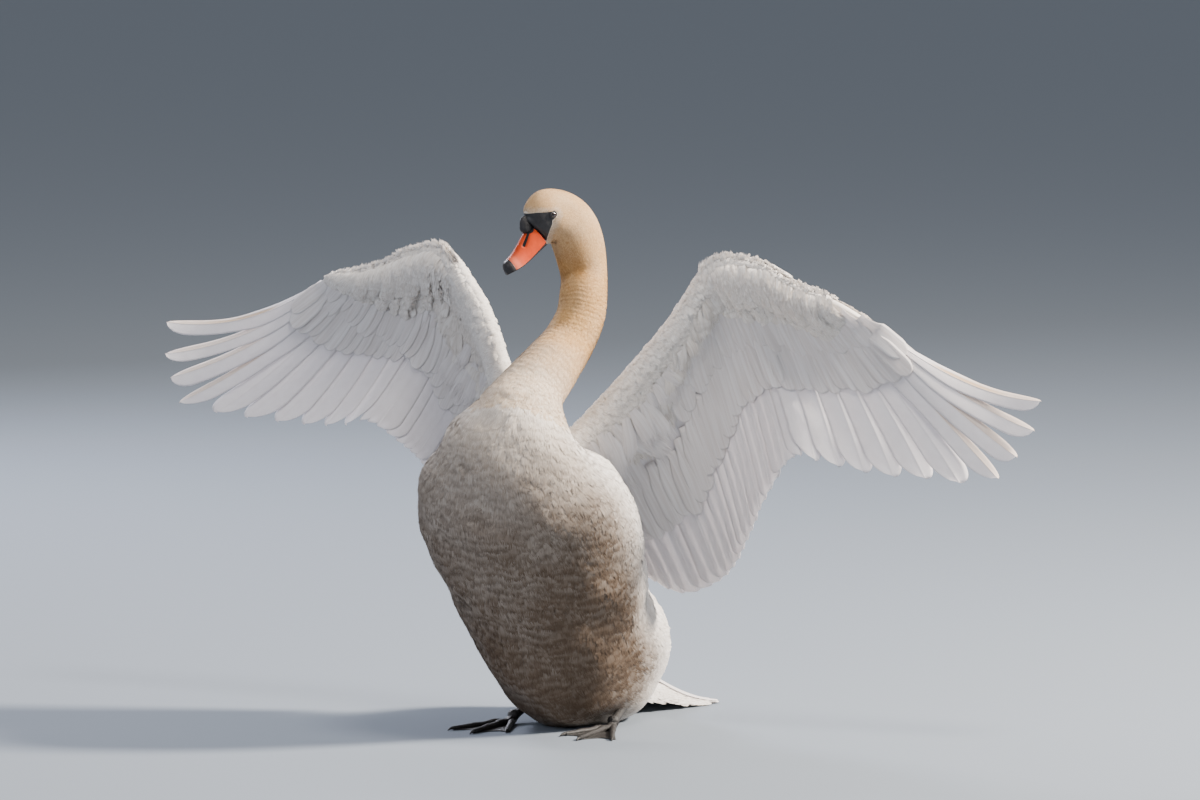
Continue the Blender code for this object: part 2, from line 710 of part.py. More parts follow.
def build():
    clear_scene()
    parts = bpy.data.collections.new("mute_swan")
    bpy.context.scene.collection.children.link(parts)
    body = body_parts()
    legs = {side: shank_part(side) for side in (1, -1)}
    feet = {side: foot_part(side) for side in (1, -1)}
    for side in (1, -1):
        body["belly"] = combined(body["belly"], legs[side], "DIFFERENCE", GAP)
        body["belly"] = combined(body["belly"], feet[side], "DIFFERENCE", GAP)
    largest_piece(body["belly"])
    tail = tail_part(body["belly"])
    wings = {}
    for side in WINGS:
        wings.update(wing_parts(side, body["belly"], body["breast"]))
    bill_upper, nail, bill_lower, knob = bill_parts(body["head"])
    eyes = []
    for side, name in ((1, "eye_left"), (-1, "eye_right")):
        centre = eye_centre(side)
        socket = ball("socket", centre, EYE_RADIUS + GAP)
        body["head"] = combined(body["head"], socket, "DIFFERENCE")
        eyes.append(ball(name, centre, EYE_RADIUS))
    for name, part in body.items():
        finished(part, parts, "neck_plumage" if "neck" in name or name == "head" else "plumage")
    for part in (tail, *wings.values()):
        finished(part, parts, "plumage")
    finished(bill_upper, parts, "bill_orange")
    finished(bill_lower, parts, "black_skin")
    for part in (nail, knob):
        finished(part, parts, "black_skin")
    for part in eyes:
        finished(part, parts, "eye")
    for part in (*legs.values(), *feet.values()):
        finished(part, parts, "leg_skin")


build()
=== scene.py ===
"""Looks of a life-size mute swan that rears up with half-spread wings.

Units are metres, +Z is up and the bird faces -Y, so its left side is at +X. Every feather is a thin
mesh laid on one of a few grounds: the body's sweep, a side of a wing, or the tail's dome. A ground
turns two numbers into a place, and a feather runs over it from its root to its tip.
"""
import math

import bmesh
import bpy
import numpy as np
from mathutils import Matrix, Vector


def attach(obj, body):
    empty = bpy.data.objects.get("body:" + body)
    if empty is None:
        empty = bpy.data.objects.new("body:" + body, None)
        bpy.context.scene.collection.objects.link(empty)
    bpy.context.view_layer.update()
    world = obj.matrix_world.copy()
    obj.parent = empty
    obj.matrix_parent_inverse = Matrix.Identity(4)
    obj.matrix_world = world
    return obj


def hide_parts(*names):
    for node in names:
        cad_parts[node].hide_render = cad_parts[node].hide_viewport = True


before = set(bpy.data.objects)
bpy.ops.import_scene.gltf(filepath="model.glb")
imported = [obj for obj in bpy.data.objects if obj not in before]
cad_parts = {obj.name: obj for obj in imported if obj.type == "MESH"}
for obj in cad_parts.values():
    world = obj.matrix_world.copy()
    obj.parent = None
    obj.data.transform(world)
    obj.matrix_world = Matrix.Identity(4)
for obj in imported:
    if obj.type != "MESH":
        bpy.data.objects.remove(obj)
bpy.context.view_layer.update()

# ---- sizes of the form

GAPE = np.array([-0.016, -0.120, 0.813])  # corner of the mouth, on the midline
HEAD_TURN = math.radians(35)  # towards the bird's right
HEAD_DROP = math.radians(34)  # bill below level

# Body stations from the tail root up: centre x, y, z, half-sizes to the side, back and breast.
# Elsewhere a station's number says where on the bird something is: 0 is the tail root, 6 the
# shoulders, 7 the neck's base, 13 its top, 16 the eyes and 18 the base of the bill.
TRUNK = (
    (0.000, 0.165, 0.062, 0.055, 0.035, 0.052),  # tail root
    (0.000, 0.095, 0.100, 0.116, 0.120, 0.132),  # rump
    (0.000, -0.030, 0.170, 0.138, 0.145, 0.178),  # lower belly
    (-0.003, -0.105, 0.255, 0.162, 0.135, 0.163),  # belly
    (-0.006, -0.170, 0.345, 0.180, 0.132, 0.158),  # back
    (-0.006, -0.222, 0.425, 0.174, 0.118, 0.155),  # breast
    (-0.003, -0.243, 0.483, 0.130, 0.084, 0.125),  # shoulders
    (0.000, -0.232, 0.528, 0.083, 0.066, 0.084),  # neck base
    (0.004, -0.200, 0.569, 0.059, 0.057, 0.058),
    (0.018, -0.157, 0.608, 0.049, 0.048, 0.050),
    (0.029, -0.110, 0.647, 0.043, 0.043, 0.043),
    (0.038, -0.083, 0.688, 0.041, 0.041, 0.041),
    (0.037, -0.068, 0.729, 0.040, 0.040, 0.040),
)
# Head stations: forward of the gape, above it, then the same half-sizes.
HEAD = (
    (-0.037, -0.088, 0.040, 0.041, 0.040),  # neck top
    (-0.055, -0.033, 0.040, 0.049, 0.044),  # nape
    (-0.050, 0.006, 0.037, 0.051, 0.044),  # back of the crown
    (-0.025, 0.0215, 0.032, 0.0535, 0.042),  # eyes
    (-0.010, 0.0190, 0.026, 0.0395, 0.030),  # lores
    (-0.001, 0.0170, 0.0176, 0.0320, 0.0250),  # bill base
)
NECK_TURN_STARTS = 7
LAST_STATION = 18.0

BILL_LENGTH = 0.083
NAIL_LENGTH = 0.015
BILL_SLANT = 0.13
BILL = (  # from the gape, half-width, then heights of the ridge, the mouth and the underside
    (0.000, 0.0170, 0.0340, 0.0000, -0.0085),
    (0.018, 0.0155, 0.0295, -0.0035, -0.0095),
    (0.038, 0.0145, 0.0215, -0.0065, -0.0110),
    (0.056, 0.0150, 0.0150, -0.0070, -0.0108),
    (0.070, 0.0145, 0.0120, -0.0055, -0.0085),
    (0.079, 0.0098, 0.0075, -0.0055, -0.0072),
    (0.083, 0.0036, 0.0000, -0.0060, -0.0066),
)
KNOB = (0.0112, 0.0360)  # its centre ahead of the gape and above it
KNOB_SIZE = (0.0105, 0.0098, 0.0098)  # half-width, half-length, half-height
EYE = (-0.0315, 0.034)  # ahead of the gape and above it
EYE_RADIUS = 0.0065
EYE_SINK = 0.0046  # depth of its centre under the face
LID_RADIUS = 0.0050
LID_THICK = 0.00095  # half of it
LID_RISE = 0.0042  # over the eye's centre

# Wings by span, which is 0 in the shoulder, 1 at the wrist and 2 at the hand's tip: x, y and z of
# the leading edge and of the feathers' tips, and how far the middle between them bows out.
WINGS = {
    "left": {
        "bow": (
            (0.0, 0.000, 0.030, 0.000), (0.5, -0.012, 0.045, 0.000),
            (1.0, -0.008, 0.045, 0.000), (1.5, 0.000, 0.030, -0.004),
            (2.0, 0.000, 0.018, -0.032),
        ),
        "edge": (
            (0.0, 0.030, -0.165, 0.475), (0.2, 0.073, -0.120, 0.531),
            (0.5, 0.167, -0.055, 0.657), (1.0, 0.260, 0.000, 0.783),
            (1.2, 0.318, 0.010, 0.778), (1.45, 0.388, 0.015, 0.743),
            (1.65, 0.443, 0.020, 0.725), (2.0, 0.507, 0.030, 0.690),
        ),
        "tips": (
            (0.00, 0.085, 0.062, 0.245), (0.20, 0.169, 0.050, 0.218),
            (0.35, 0.237, 0.035, 0.244), (0.60, 0.299, 0.015, 0.321),
            (0.80, 0.340, -0.005, 0.395), (1.00, 0.405, -0.027, 0.468),
            (1.10, 0.432, -0.015, 0.460), (1.40, 0.567, -0.003, 0.438),
            (1.50, 0.622, 0.000, 0.437), (1.60, 0.682, 0.000, 0.433),
            (1.70, 0.750, 0.000, 0.443), (1.80, 0.779, 0.010, 0.478),
            (1.90, 0.801, 0.030, 0.520), (2.00, 0.804, 0.050, 0.567),
        ),
    },
    "right": {
        "bow": (
            (0.0, 0.000, 0.030, 0.000), (0.5, -0.012, 0.045, 0.000),
            (1.0, -0.008, 0.045, 0.000), (1.5, 0.000, 0.030, -0.012),
            (2.0, 0.000, 0.018, -0.032),
        ),
        "edge": (
            (0.0, 0.030, -0.165, 0.475), (0.2, 0.073, -0.120, 0.535),
            (0.5, 0.149, -0.060, 0.675), (0.75, 0.196, -0.030, 0.733),
            (1.0, 0.260, 0.000, 0.786), (1.2, 0.315, 0.010, 0.778),
            (1.45, 0.384, 0.015, 0.750), (2.0, 0.485, 0.030, 0.730),
        ),
        "tips": (
            (0.00, 0.085, 0.062, 0.255), (0.20, 0.165, 0.048, 0.258),
            (0.35, 0.222, 0.035, 0.310), (0.60, 0.290, 0.005, 0.412),
            (0.80, 0.328, -0.010, 0.452), (1.00, 0.392, -0.027, 0.492),
            (1.10, 0.431, -0.015, 0.483), (1.40, 0.565, -0.003, 0.481),
            (1.50, 0.626, 0.000, 0.486), (1.60, 0.684, 0.000, 0.492),
            (1.70, 0.757, 0.000, 0.506), (1.80, 0.778, 0.010, 0.546),
            (1.90, 0.799, 0.030, 0.585), (2.00, 0.806, 0.050, 0.637),
        ),
    },
}
# The arm's covering by span: how far back it reaches, its thickness, the coat's depth on it.
ARM_CHORD = ((0.0, 0.150), (0.4, 0.110), (0.8, 0.088), (1.0, 0.080), (1.5, 0.062), (2.0, 0.034))
ARM_THICK = ((0.0, 0.052), (0.5, 0.040), (1.0, 0.034), (1.5, 0.026), (2.0, 0.014))
ARM_REAR_THICK = 0.005
ARM_DEPTH = ((0.0, 0.0060), (1.0, 0.0042), (2.0, 0.0018))
PRIMARIES = 10
PRIMARY_PITCH = 0.1
SECONDARIES = (0.28, 1.045, 16)  # first and last spanwise place, number of feathers
TERTIALS = (0.03, 0.28, 4)
FINGERS = {7: 0.0360, 8: 0.0365, 9: 0.0315, 10: 0.0285}  # widths of the free outer primaries

TAIL_START = 0.115
TAIL_LENGTH = 0.235
TAIL_HALF_WIDTH = (0.066, 0.118)  # at its root and at its end
TAIL_HEIGHT = (0.118, 0.004)

FOOT_JOINT = (0.092, -0.070, 0.0125)  # of the left leg
HOCK = (0.078, 0.040, 0.046)
# Toes: turn outward in degrees, length, radius at the root.
TOES = ((-20, 0.112, 0.0060), (2, 0.142, 0.0068), (24, 0.130, 0.0062))
WEB_THICK = 0.003
CLAW_LENGTH = 0.013

# Coat of the body, by station: feather length and width, row pitch, pitch across, depth over the skin.
COAT = (
    (0.0, 0.034, 0.0140, 0.0125, 0.0044, 0.006),
    (2.0, 0.034, 0.0140, 0.0125, 0.0042, 0.006),
    (5.0, 0.032, 0.0130, 0.0108, 0.0040, 0.006),
    (6.5, 0.026, 0.0100, 0.0078, 0.0034, 0.005),
    (7.5, 0.020, 0.0075, 0.0058, 0.0027, 0.0036),
    (9.0, 0.016, 0.0055, 0.0042, 0.0021, 0.0026),
    (11.0, 0.012, 0.0044, 0.0037, 0.0018, 0.0017),
    (13.0, 0.010, 0.0039, 0.0032, 0.0017, 0.0013),
    (14.2, 0.0080, 0.0032, 0.0024, 0.0015, 0.0010),
    (15.5, 0.0062, 0.0026, 0.0019, 0.0013, 0.0009),
    (18.0, 0.0050, 0.0022, 0.0016, 0.0012, 0.0009),
)

LUMP = 0.003  # height of the trunk's broad swells
RIPPLE = (0.0017, 0.0150)  # height and distance of the breast's wavy ripples
NECK_RINGS = (0.0005, 0.17)  # height, and distance in stations, of the folds round the neck

GOLDEN = 0.61803  # each step of the golden ratio's sequence, which never lines up
SIDES = ((1, "left"), (-1, "right"))

rng = np.random.default_rng(7)

# ---- the form as functions


def spline(table, at):
    """Values of a table at the places `at`: a cubic between rows, each row's slope taken from its
    neighbours. The table's first column is the place."""
    rows = np.asarray(table, float)
    knots, values = rows[:, 0], rows[:, 1:]
    slopes = np.gradient(values, knots, axis=0)
    at = np.asarray(at, float)
    i = np.clip(np.searchsorted(knots, at, side="right") - 1, 0, len(knots) - 2)
    step = (knots[i + 1] - knots[i])[..., None]
    t = (at - knots[i])[..., None] / step
    return (
        (2 * t**3 - 3 * t**2 + 1) * values[i]
        + (t**3 - 2 * t**2 + t) * step * slopes[i]
        + (3 * t**2 - 2 * t**3) * values[i + 1]
        + (t**3 - t**2) * step * slopes[i + 1]
    )


def lookup(table, at, column=1):
    """Straight-line reading of one column of a table whose first column is the place."""
    rows = np.asarray(table, float)
    return np.interp(at, rows[:, 0], rows[:, column])


def unit(vectors):
    """Vectors of length 1."""
    return vectors / np.maximum(np.linalg.norm(vectors, axis=-1, keepdims=True), 1e-12)


def smooth(low, high, value):
    """0 below low, 1 above high, and an S-shaped rise between."""
    t = np.clip((value - low) / (high - low), 0, 1)
    return t * t * (3 - 2 * t)


def band(start, full, fading, end, value):
    """1 between `full` and `fading`, with S-shaped ends down to 0 at `start` and at `end`."""
    return smooth(start, full, value) * (1 - smooth(fading, end, value))


def full_turn(count):
    """Angles that share a full turn evenly."""
    return np.linspace(0, 2 * math.pi, count, endpoint=False)


def head_axes():
    """Forward along the bill, up and left, for the turned and lowered head."""
    level = np.array([-math.sin(HEAD_TURN), -math.cos(HEAD_TURN), 0.0])
    up = np.array([0.0, 0.0, 1.0])
    forward = level * math.cos(HEAD_DROP) - up * math.sin(HEAD_DROP)
    left = np.array([math.cos(HEAD_TURN), -math.sin(HEAD_TURN), 0.0])
    return forward, level * math.sin(HEAD_DROP) + up * math.cos(HEAD_DROP), left


FORWARD, UPWARD, LEFTWARD = head_axes()


def head_place(ahead, above, aside=0.0):
    """Points from distances forward of the gape, above it and to the left."""
    ahead, above, aside = np.broadcast_arrays(ahead, above, aside)
    return (
        GAPE + ahead[..., None] * FORWARD + above[..., None] * UPWARD + aside[..., None] * LEFTWARD
    )


def in_head(points):
    """Distances of points forward of the gape, above it and to the left."""
    away = points - GAPE
    return away @ FORWARD, away @ UPWARD, away @ LEFTWARD


def make_waves(seed, wavelength, count=7):
    """A smooth random field: sine waves in random directions near one wavelength, added up and
    divided by the root of their number."""
    chance = np.random.default_rng(seed)
    directions = unit(chance.normal(size=(count, 3)))
    factor = chance.uniform(0.6, 1.6, (count, 1))
    numbers = directions * factor * 2 * math.pi / wavelength
    phases = chance.uniform(0, 2 * math.pi, count)

    def field(points):
        return np.sin(points @ numbers.T + phases).sum(axis=-1) / math.sqrt(count)

    return field


lumps = make_waves(11, 0.110)
clumps = make_waves(12, 0.034)
drift = make_waves(13, 0.060)


def body_frames(stations):
    """Rows of the body's sweep: centre, half-sizes to the side, back and breast, left and back
    directions. The section is square to the centre line, and its left turns with the head."""
    rows = [*TRUNK, *[(*head_place(row[0], row[1]), *row[2:]) for row in HEAD]]
    neck_rows = len(TRUNK) - NECK_TURN_STARTS
    turns = [HEAD_TURN * min(max((i - NECK_TURN_STARTS) / neck_rows, 0), 1) for i in range(len(rows))]
    table = [(i, *row, turn) for i, (row, turn) in enumerate(zip(rows, turns))]
    nudge = 0.02
    values = spline(table, stations)
    ahead = spline(table, np.minimum(stations + nudge, LAST_STATION))
    behind = spline(table, np.maximum(stations - nudge, 0))
    tangent = unit(ahead[:, :3] - behind[:, :3])
    turn = values[:, 6]
    left = np.stack([np.cos(turn), -np.sin(turn), np.zeros_like(turn)], axis=-1)
    left = unit(left - tangent * np.sum(left * tangent, axis=-1, keepdims=True))
    return values[:, :3], values[:, 3:6], left, np.cross(tangent, left)


def face_relief(points):
    """Height that the face adds to the sweep: brows, full cheeks and chin, hollow lores, as smooth
    mounds and hollows round named places on the head."""
    ahead, above, aside = in_head(points)
    relief = np.zeros(np.shape(ahead))
    for centre, radius, height in (
        ((-0.030, 0.0440, 0.024), 0.010, 0.0012),  # brow
        ((-0.018, 0.0300, 0.024), 0.011, -0.0014),  # lore in front of the eye
        ((-0.034, 0.0100, 0.030), 0.018, 0.0020),  # cheek
        ((-0.005, -0.0110, 0.006), 0.011, 0.0040),  # chin
    ):
        away = (ahead - centre[0]) ** 2 + (above - centre[1]) ** 2 + (np.abs(aside) - centre[2]) ** 2
        relief += height * np.exp(-away / radius**2)
    return relief


def slopes(grid):
    """Change of a grid of body points per radian and per station. Angles wrap round."""
    step = 2 * math.pi / grid.shape[1]
    around = (np.roll(grid, -1, axis=1) - np.roll(grid, 1, axis=1)) / (2 * step)
    return around, np.gradient(grid, LAST_STATION / (grid.shape[0] - 1), axis=0)


def outward(grid):
    """Outward directions of a grid of body points."""
    around, onward = slopes(grid)
    return unit(np.cross(onward, around))


def ripple_row(points):
    """Number of the ripple that a point of the trunk lies in: nearly level rows, bent by slow waves."""
    flat = points * np.array([0.55, 0.55, 0.9])
    return (points[..., 2] + 0.010 * drift(flat) + 0.003 * clumps(flat)) / RIPPLE[1]


def ripple(points):
    """Wavy ripples of the trunk, from -1 to 1, in rows that come and go."""
    fade = 0.72 + 0.28 * lumps(points * np.array([1.4, 1.4, 2.3]))
    return np.sin(2 * math.pi * ripple_row(points)) * fade


BODY_GRID = (721, 192)  # stations and angles
SPREAD_PASSES, EASE_PASSES = 24, 400
NECK_PASSES, CHIN_PASSES = 220, 500


def body_grids():
    """Points of the coat over even stations and angles, with their outward directions and slopes,
    and the same two for the smooth form below. Where the sweep bends so sharply that its sections
    crowd, points are eased towards the mean of their neighbours until the fold is gone. The face's
    relief comes on top, and for the coat broad swells, ripples and the neck's rings."""
    stations, angles = np.linspace(0, LAST_STATION, BODY_GRID[0]), full_turn(BODY_GRID[1])
    centre, halves, left, back = body_frames(stations)
    sine, cosine = np.sin(angles)[None, :], np.cos(angles)[None, :]
    deep = np.where(cosine > 0, halves[:, 1:2], halves[:, 2:3])
    grid = centre[:, None] + (halves[:, 0:1] * sine)[..., None] * left[:, None]
    grid = grid + (deep * cosine)[..., None] * back[:, None]
    ahead = np.gradient(centre, stations, axis=0)[:, None]
    crowd = np.sum(slopes(grid)[1] * ahead, axis=-1) / np.sum(ahead**2, axis=-1)
    ease = 1 - smooth(0.45, 0.80, crowd)
    for _ in range(SPREAD_PASSES):
        wider = np.maximum(np.roll(ease, 1, axis=1), np.roll(ease, -1, axis=1))
        wider[1:-1] = np.maximum(wider[1:-1], np.maximum(ease[2:], ease[:-2]))
        ease = np.maximum(ease, wider * 0.94)
    ease = ease * band(0.4, 1.2, 17.75, 17.97, stations)[:, None]
    ease = ease[1:-1, :, None]
    for _ in range(EASE_PASSES):
        mean = (np.roll(grid, 1, axis=1) + np.roll(grid, -1, axis=1))[1:-1] + grid[2:] + grid[:-2]
        grid[1:-1] += ease * (mean / 4 - grid[1:-1])
    neck = band(9.5, 12.0, 15.0, 16.5, stations)[:, None]
    chin = band(13.5, 15.0, 17.0, 17.7, stations)[:, None]
    chin = chin * smooth(0.1, 0.7, -cosine)
    for share, passes in ((neck, NECK_PASSES), (chin, CHIN_PASSES)):
        share = share[1:-1, :, None]
        for _ in range(passes):
            grid[1:-1] += share * ((grid[2:] + grid[:-2]) / 4 - grid[1:-1] / 2)
    face = smooth(14.0, 15.0, stations)[:, None]
    grid = grid + outward(grid) * (face_relief(grid) * face)[..., None]
    trunk = 1 - smooth(6.5, 8.0, stations)[:, None]
    grid = grid + outward(grid) * (LUMP * lumps(grid) * trunk)[..., None]
    core = grid, outward(grid)
    rise = RIPPLE[0] * ripple(grid) * trunk * smooth(0.05, 0.15, grid[..., 2])
    high, distance = NECK_RINGS
    phase = 2 * math.pi * stations[:, None] / distance + 1.2 * clumps(grid) + 0.8 * drift(grid)
    rise += high * np.sin(phase) * band(6.6, 7.6, 11.0, 13.5, stations)[:, None]
    coat = grid + core[1] * rise[..., None]
    return (coat, outward(coat), *slopes(coat)), core


def body_read(grid, angle, station):
    """Value of a body grid at an angle and a station, straight between its points."""
    angle, station = np.broadcast_arrays(angle, station)
    row = np.clip(station, 0, LAST_STATION) * (grid.shape[0] - 1) / LAST_STATION
    i = np.minimum(row.astype(int), grid.shape[0] - 2)
    column = (angle / (2 * math.pi)) % 1.0 * grid.shape[1]
    j = column.astype(int) % grid.shape[1]
    k = (j + 1) % grid.shape[1]
    down, over = (row - i)[..., None], (column - np.floor(column))[..., None]
    near = grid[i, j] * (1 - over) + grid[i, k] * over
    return near * (1 - down) + (grid[i + 1, j] * (1 - over) + grid[i + 1, k] * over) * down


def wing_place(side, span, chord):
    """Point of a wing's middle surface: a line from the leading edge to the feather tips, bowed by a
    parabola along the chord."""
    shape = WINGS[side]
    span, chord = np.broadcast_arrays(np.asarray(span, float), np.asarray(chord, float))
    edge, tips = spline(shape["edge"], span), spline(shape["tips"], span)
    bow = spline(shape["bow"], span)
    c = chord[..., None]
    points = (1 - c) * edge + c * tips + 4 * c * (1 - c) * bow
    return points * np.array([1.0 if side == "left" else -1.0, 1.0, 1.0])


def ray_length(side, span):
    """Length of a wing's chord line."""
    return np.linalg.norm(wing_place(side, span, 1.0) - wing_place(side, span, 0.0), axis=-1)


def arm_share(side, span):
    """Chord at which the arm's covering ends."""
    return spline(ARM_CHORD, span)[..., 0] / ray_length(side, span)


def arm_swell(side, span, chord):
    """Half-thickness of the arm: a sine whose hump leans to the leading edge, over a thin rear."""
    share = np.clip(chord / arm_share(side, span), 0, 1)
    thick = spline(ARM_THICK, span)[..., 0]
    hump = (thick - ARM_REAR_THICK) * np.sin(math.pi * share**0.55)
    return (hump + ARM_REAR_THICK * share**0.3) / 2


def wing_normal(side, span, chord):
    """Direction square to a wing's middle surface, towards the upper side, which faces back."""
    small = 1e-3
    place = wing_place(side, span, chord)
    normal = unit(np.cross(
        wing_place(side, span + small, chord) - place, wing_place(side, span, chord + small) - place
    ))
    return normal * np.where(normal[..., 1:2] < 0, -1, 1)


def off_wing(side, span, chord, high):
    """Point at a height over a wing's middle surface, towards its upper side."""
    return wing_place(side, span, chord) + wing_normal(side, span, chord) * high[..., None]


def ground_of(surface, facing, ahead=2e-3, behind=0.0, step=2e-3):
    """Ground of a surface of two numbers: its place, its outward direction and its slopes over small
    steps. The outward direction is the one that agrees with `facing`."""

    def ground(u, v):
        place = surface(u, v)
        before = surface(u, v - behind) if behind else place
        along_u = (surface(u + step, v) - place) / step
        along_v = (surface(u, v + ahead) - before) / (ahead + behind)
        normal = unit(np.cross(along_u, along_v))
        agrees = np.sum(normal * facing(u, v, place), axis=-1, keepdims=True)
        return place, normal * np.where(agrees < 0, -1, 1), along_u, along_v

    return ground


def wing_ground(side, face):
    """Ground of one side of a wing, arm and all: face 1 is the upper side and -1 the under side. Its
    numbers are span and chord."""

    def surface(span, chord):
        return off_wing(side, span, chord, face * arm_swell(side, span, chord))

    def facing(span, chord, _):
        return face * wing_normal(side, span, chord)

    return ground_of(surface, facing)


NOSE = 0.022  # chord to which the nose of the arm reaches
TURN_STEP = 0.01


def nose_ground(side):
    """Ground of the arm's rounded leading edge. Its numbers are span and a turn, from -1 on the under
    side through 0 at the edge to 1 on the upper side; the chord grows as the turn squared."""

    def surface(span, turn):
        chord = NOSE * turn**2
        return off_wing(side, span, chord, np.sign(turn) * arm_swell(side, span, chord))

    def facing(span, _, place):
        return place - wing_place(side, span, np.full(np.shape(span), 2 * NOSE))

    return ground_of(surface, facing, ahead=TURN_STEP, behind=TURN_STEP)


def tail_surface(across, along):
    """The tail's dome: it widens evenly backward and thins by a power of what is left."""
    first, last = TAIL_HALF_WIDTH
    root, tip = TAIL_HEIGHT
    dome = np.clip(1 - along, 0, 1) ** 1.5 * np.sqrt(np.maximum(1.04 - across**2, 0.04))
    x = across * (first + (last - first) * along)
    y = TAIL_START + TAIL_LENGTH * along * (1 - 0.16 * across**2)
    return np.stack([x, y, tip + (root - tip) * dome], axis=-1)


def upwards(*_):
    """Straight up, wherever it is asked for."""
    return np.array([0.0, 0.0, 1.0])


tail_ground = ground_of(tail_surface, upwards, ahead=1e-3, step=1e-3)
BODY, CORE = body_grids()


def body_place(angle, station):
    """Point of the body at an angle round it, 0 at the back and a quarter turn at the left."""
    return body_read(BODY[0], angle, station)


def body_ground(angle, station):
    """Ground of the body's coat. Its numbers are angle and station; feathers lie towards lower
    stations, so from the bill to the tail."""
    place, normal, around, onward = (body_read(grid, angle, station) for grid in BODY)
    return place, unit(normal), around, onward


# ---- meshes


def grid_faces(rows, columns, closed=False):
    """Quads of a grid of vertices, numbered row by row. A closed grid joins its last column to its
    first."""
    j = np.arange(columns if closed else columns - 1)
    k = (j + 1) % columns
    a = (np.arange(rows - 1) * columns)[:, None]
    quads = np.stack([a + j, a + k, a + columns + k, a + columns + j], axis=-1)
    return quads.reshape(-1, 4)


def sheet_faces(rows, columns):
    """Faces of a thin closed sheet: a grid, the same grid turned over whose vertices follow the
    first's, and a wall round the rim."""
    grid = grid_faces(rows, columns)
    each = rows * columns
    rim = np.concatenate([
        np.arange(columns),
        np.arange(1, rows) * columns + columns - 1,
        (rows - 1) * columns + np.arange(columns - 2, -1, -1),
        np.arange(rows - 2, 0, -1) * columns,
    ])
    onward = np.roll(rim, -1)
    wall = np.stack([onward, rim, each + rim, each + onward], axis=-1)
    return np.concatenate([grid, grid[:, ::-1] + each, wall])


def capped(rings):
    """Points and faces of a closed form through rings of points, with a pole at each end."""
    rows, around = rings.shape[:2]
    total = rows * around
    ends = np.stack([rings[0].mean(0), rings[-1].mean(0)])
    j = np.arange(around)
    k = (j + 1) % around
    faces = [
        grid_faces(rows, around, True),
        np.stack([j, np.full(around, total), k], axis=-1),
        np.stack([total - around + k, np.full(around, total + 1), total - around + j], axis=-1),
    ]
    return np.vstack([rings.reshape(-1, 3), ends]), faces


def face_out(piece):
    """Turns a closed mesh's faces outward."""
    shape = bmesh.new()
    shape.from_mesh(piece.data)
    bmesh.ops.recalc_face_normals(shape, faces=shape.faces)
    shape.to_mesh(piece.data)
    shape.free()
    return piece


def new_piece(name, points, faces, material):
    """A smooth mesh object from points and arrays of vertex numbers, one array for each face size."""
    mesh = bpy.data.meshes.new(name)
    faces = [f for f in (faces if isinstance(faces, list) else [faces]) if len(f)]
    corners = np.concatenate([f.ravel() for f in faces]).astype(np.int32)
    sizes = np.concatenate([np.full(len(f), f.shape[1]) for f in faces])
    mesh.vertices.add(len(points))
    mesh.vertices.foreach_set("co", np.asarray(points, np.float32).ravel())
    mesh.loops.add(len(corners))
    mesh.loops.foreach_set("vertex_index", corners)
    mesh.polygons.add(len(sizes))
    starts = np.concatenate([[0], np.cumsum(sizes)[:-1]]).astype(np.int32)
    mesh.polygons.foreach_set("loop_start", starts)
    mesh.update(calc_edges=True)
    mesh.polygons.foreach_set("use_smooth", np.full(len(sizes), True))
    made = bpy.data.objects.new(name, mesh)
    bpy.context.scene.collection.objects.link(made)
    mesh.materials.append(material)
    return made


def closed_piece(name, points, faces, material):
    """A new piece whose faces are turned outward."""
    return face_out(new_piece(name, points, faces, material))


def set_map(piece, name, places):
    """A UV map from one place for each vertex."""
    mesh = piece.data
    corners = np.zeros(len(mesh.loops), np.int32)
    mesh.loops.foreach_get("vertex_index", corners)
    layer = mesh.uv_layers.new(name=name)
    layer.data.foreach_set("uv", np.asarray(places, np.float32)[corners].ravel())


def set_value(piece, name, values):
    """A number for each vertex, which a material reads by name."""
    layer = piece.data.attributes.new(name, "FLOAT", "POINT")
    layer.data.foreach_set("value", np.asarray(values, np.float32).ravel())


def finished(piece, slot, *nodes):
    """Rides the piece on the model's one body and hides the nodes it stands for. The finish, `slot`, is
    not used.
    """
    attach(piece, "root")
    if nodes:
        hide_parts(*nodes)
    return piece


def joined(target, other):
    """Target with the other closed mesh joined on, so that they are one smooth skin."""
    change = target.modifiers.new("change", "BOOLEAN")
    change.object = other
    change.operation = "UNION"
    bpy.context.view_layer.update()
    graph = bpy.context.evaluated_depsgraph_get()
    mesh = bpy.data.meshes.new_from_object(target.evaluated_get(graph))
    mesh.polygons.foreach_set("use_smooth", np.full(len(mesh.polygons), True))
    target.modifiers.clear()
    old = target.data
    target.data = mesh
    bpy.data.meshes.remove(old)
    bpy.data.objects.remove(other)
    return target


# ---- feathers


def tuft_shape(splits):
    """Outline of a downy feather as shares along and across, with its faces: three rows of points,
    and past them one pointed strand from each gap between columns."""
    columns = splits + 1
    across = np.linspace(-1, 1, columns)
    rows = ((0.0, 0.42), (0.36, 0.94), (0.64, 0.98))
    along = np.concatenate([np.full(columns, t) for t, _ in rows])
    wide = np.concatenate([across * w for _, w in rows])
    middle = (across[:-1] + across[1:]) / 2
    along = np.concatenate([along, 1.0 - 0.22 * middle**2])
    wide = np.concatenate([wide, middle * 0.86])
    quads = grid_faces(3, columns)
    j = np.arange(splits)
    tips = np.stack([2 * columns + j, 2 * columns + j + 1, 3 * columns + j], axis=-1)
    return along, wide, [quads, tips], 3 * columns


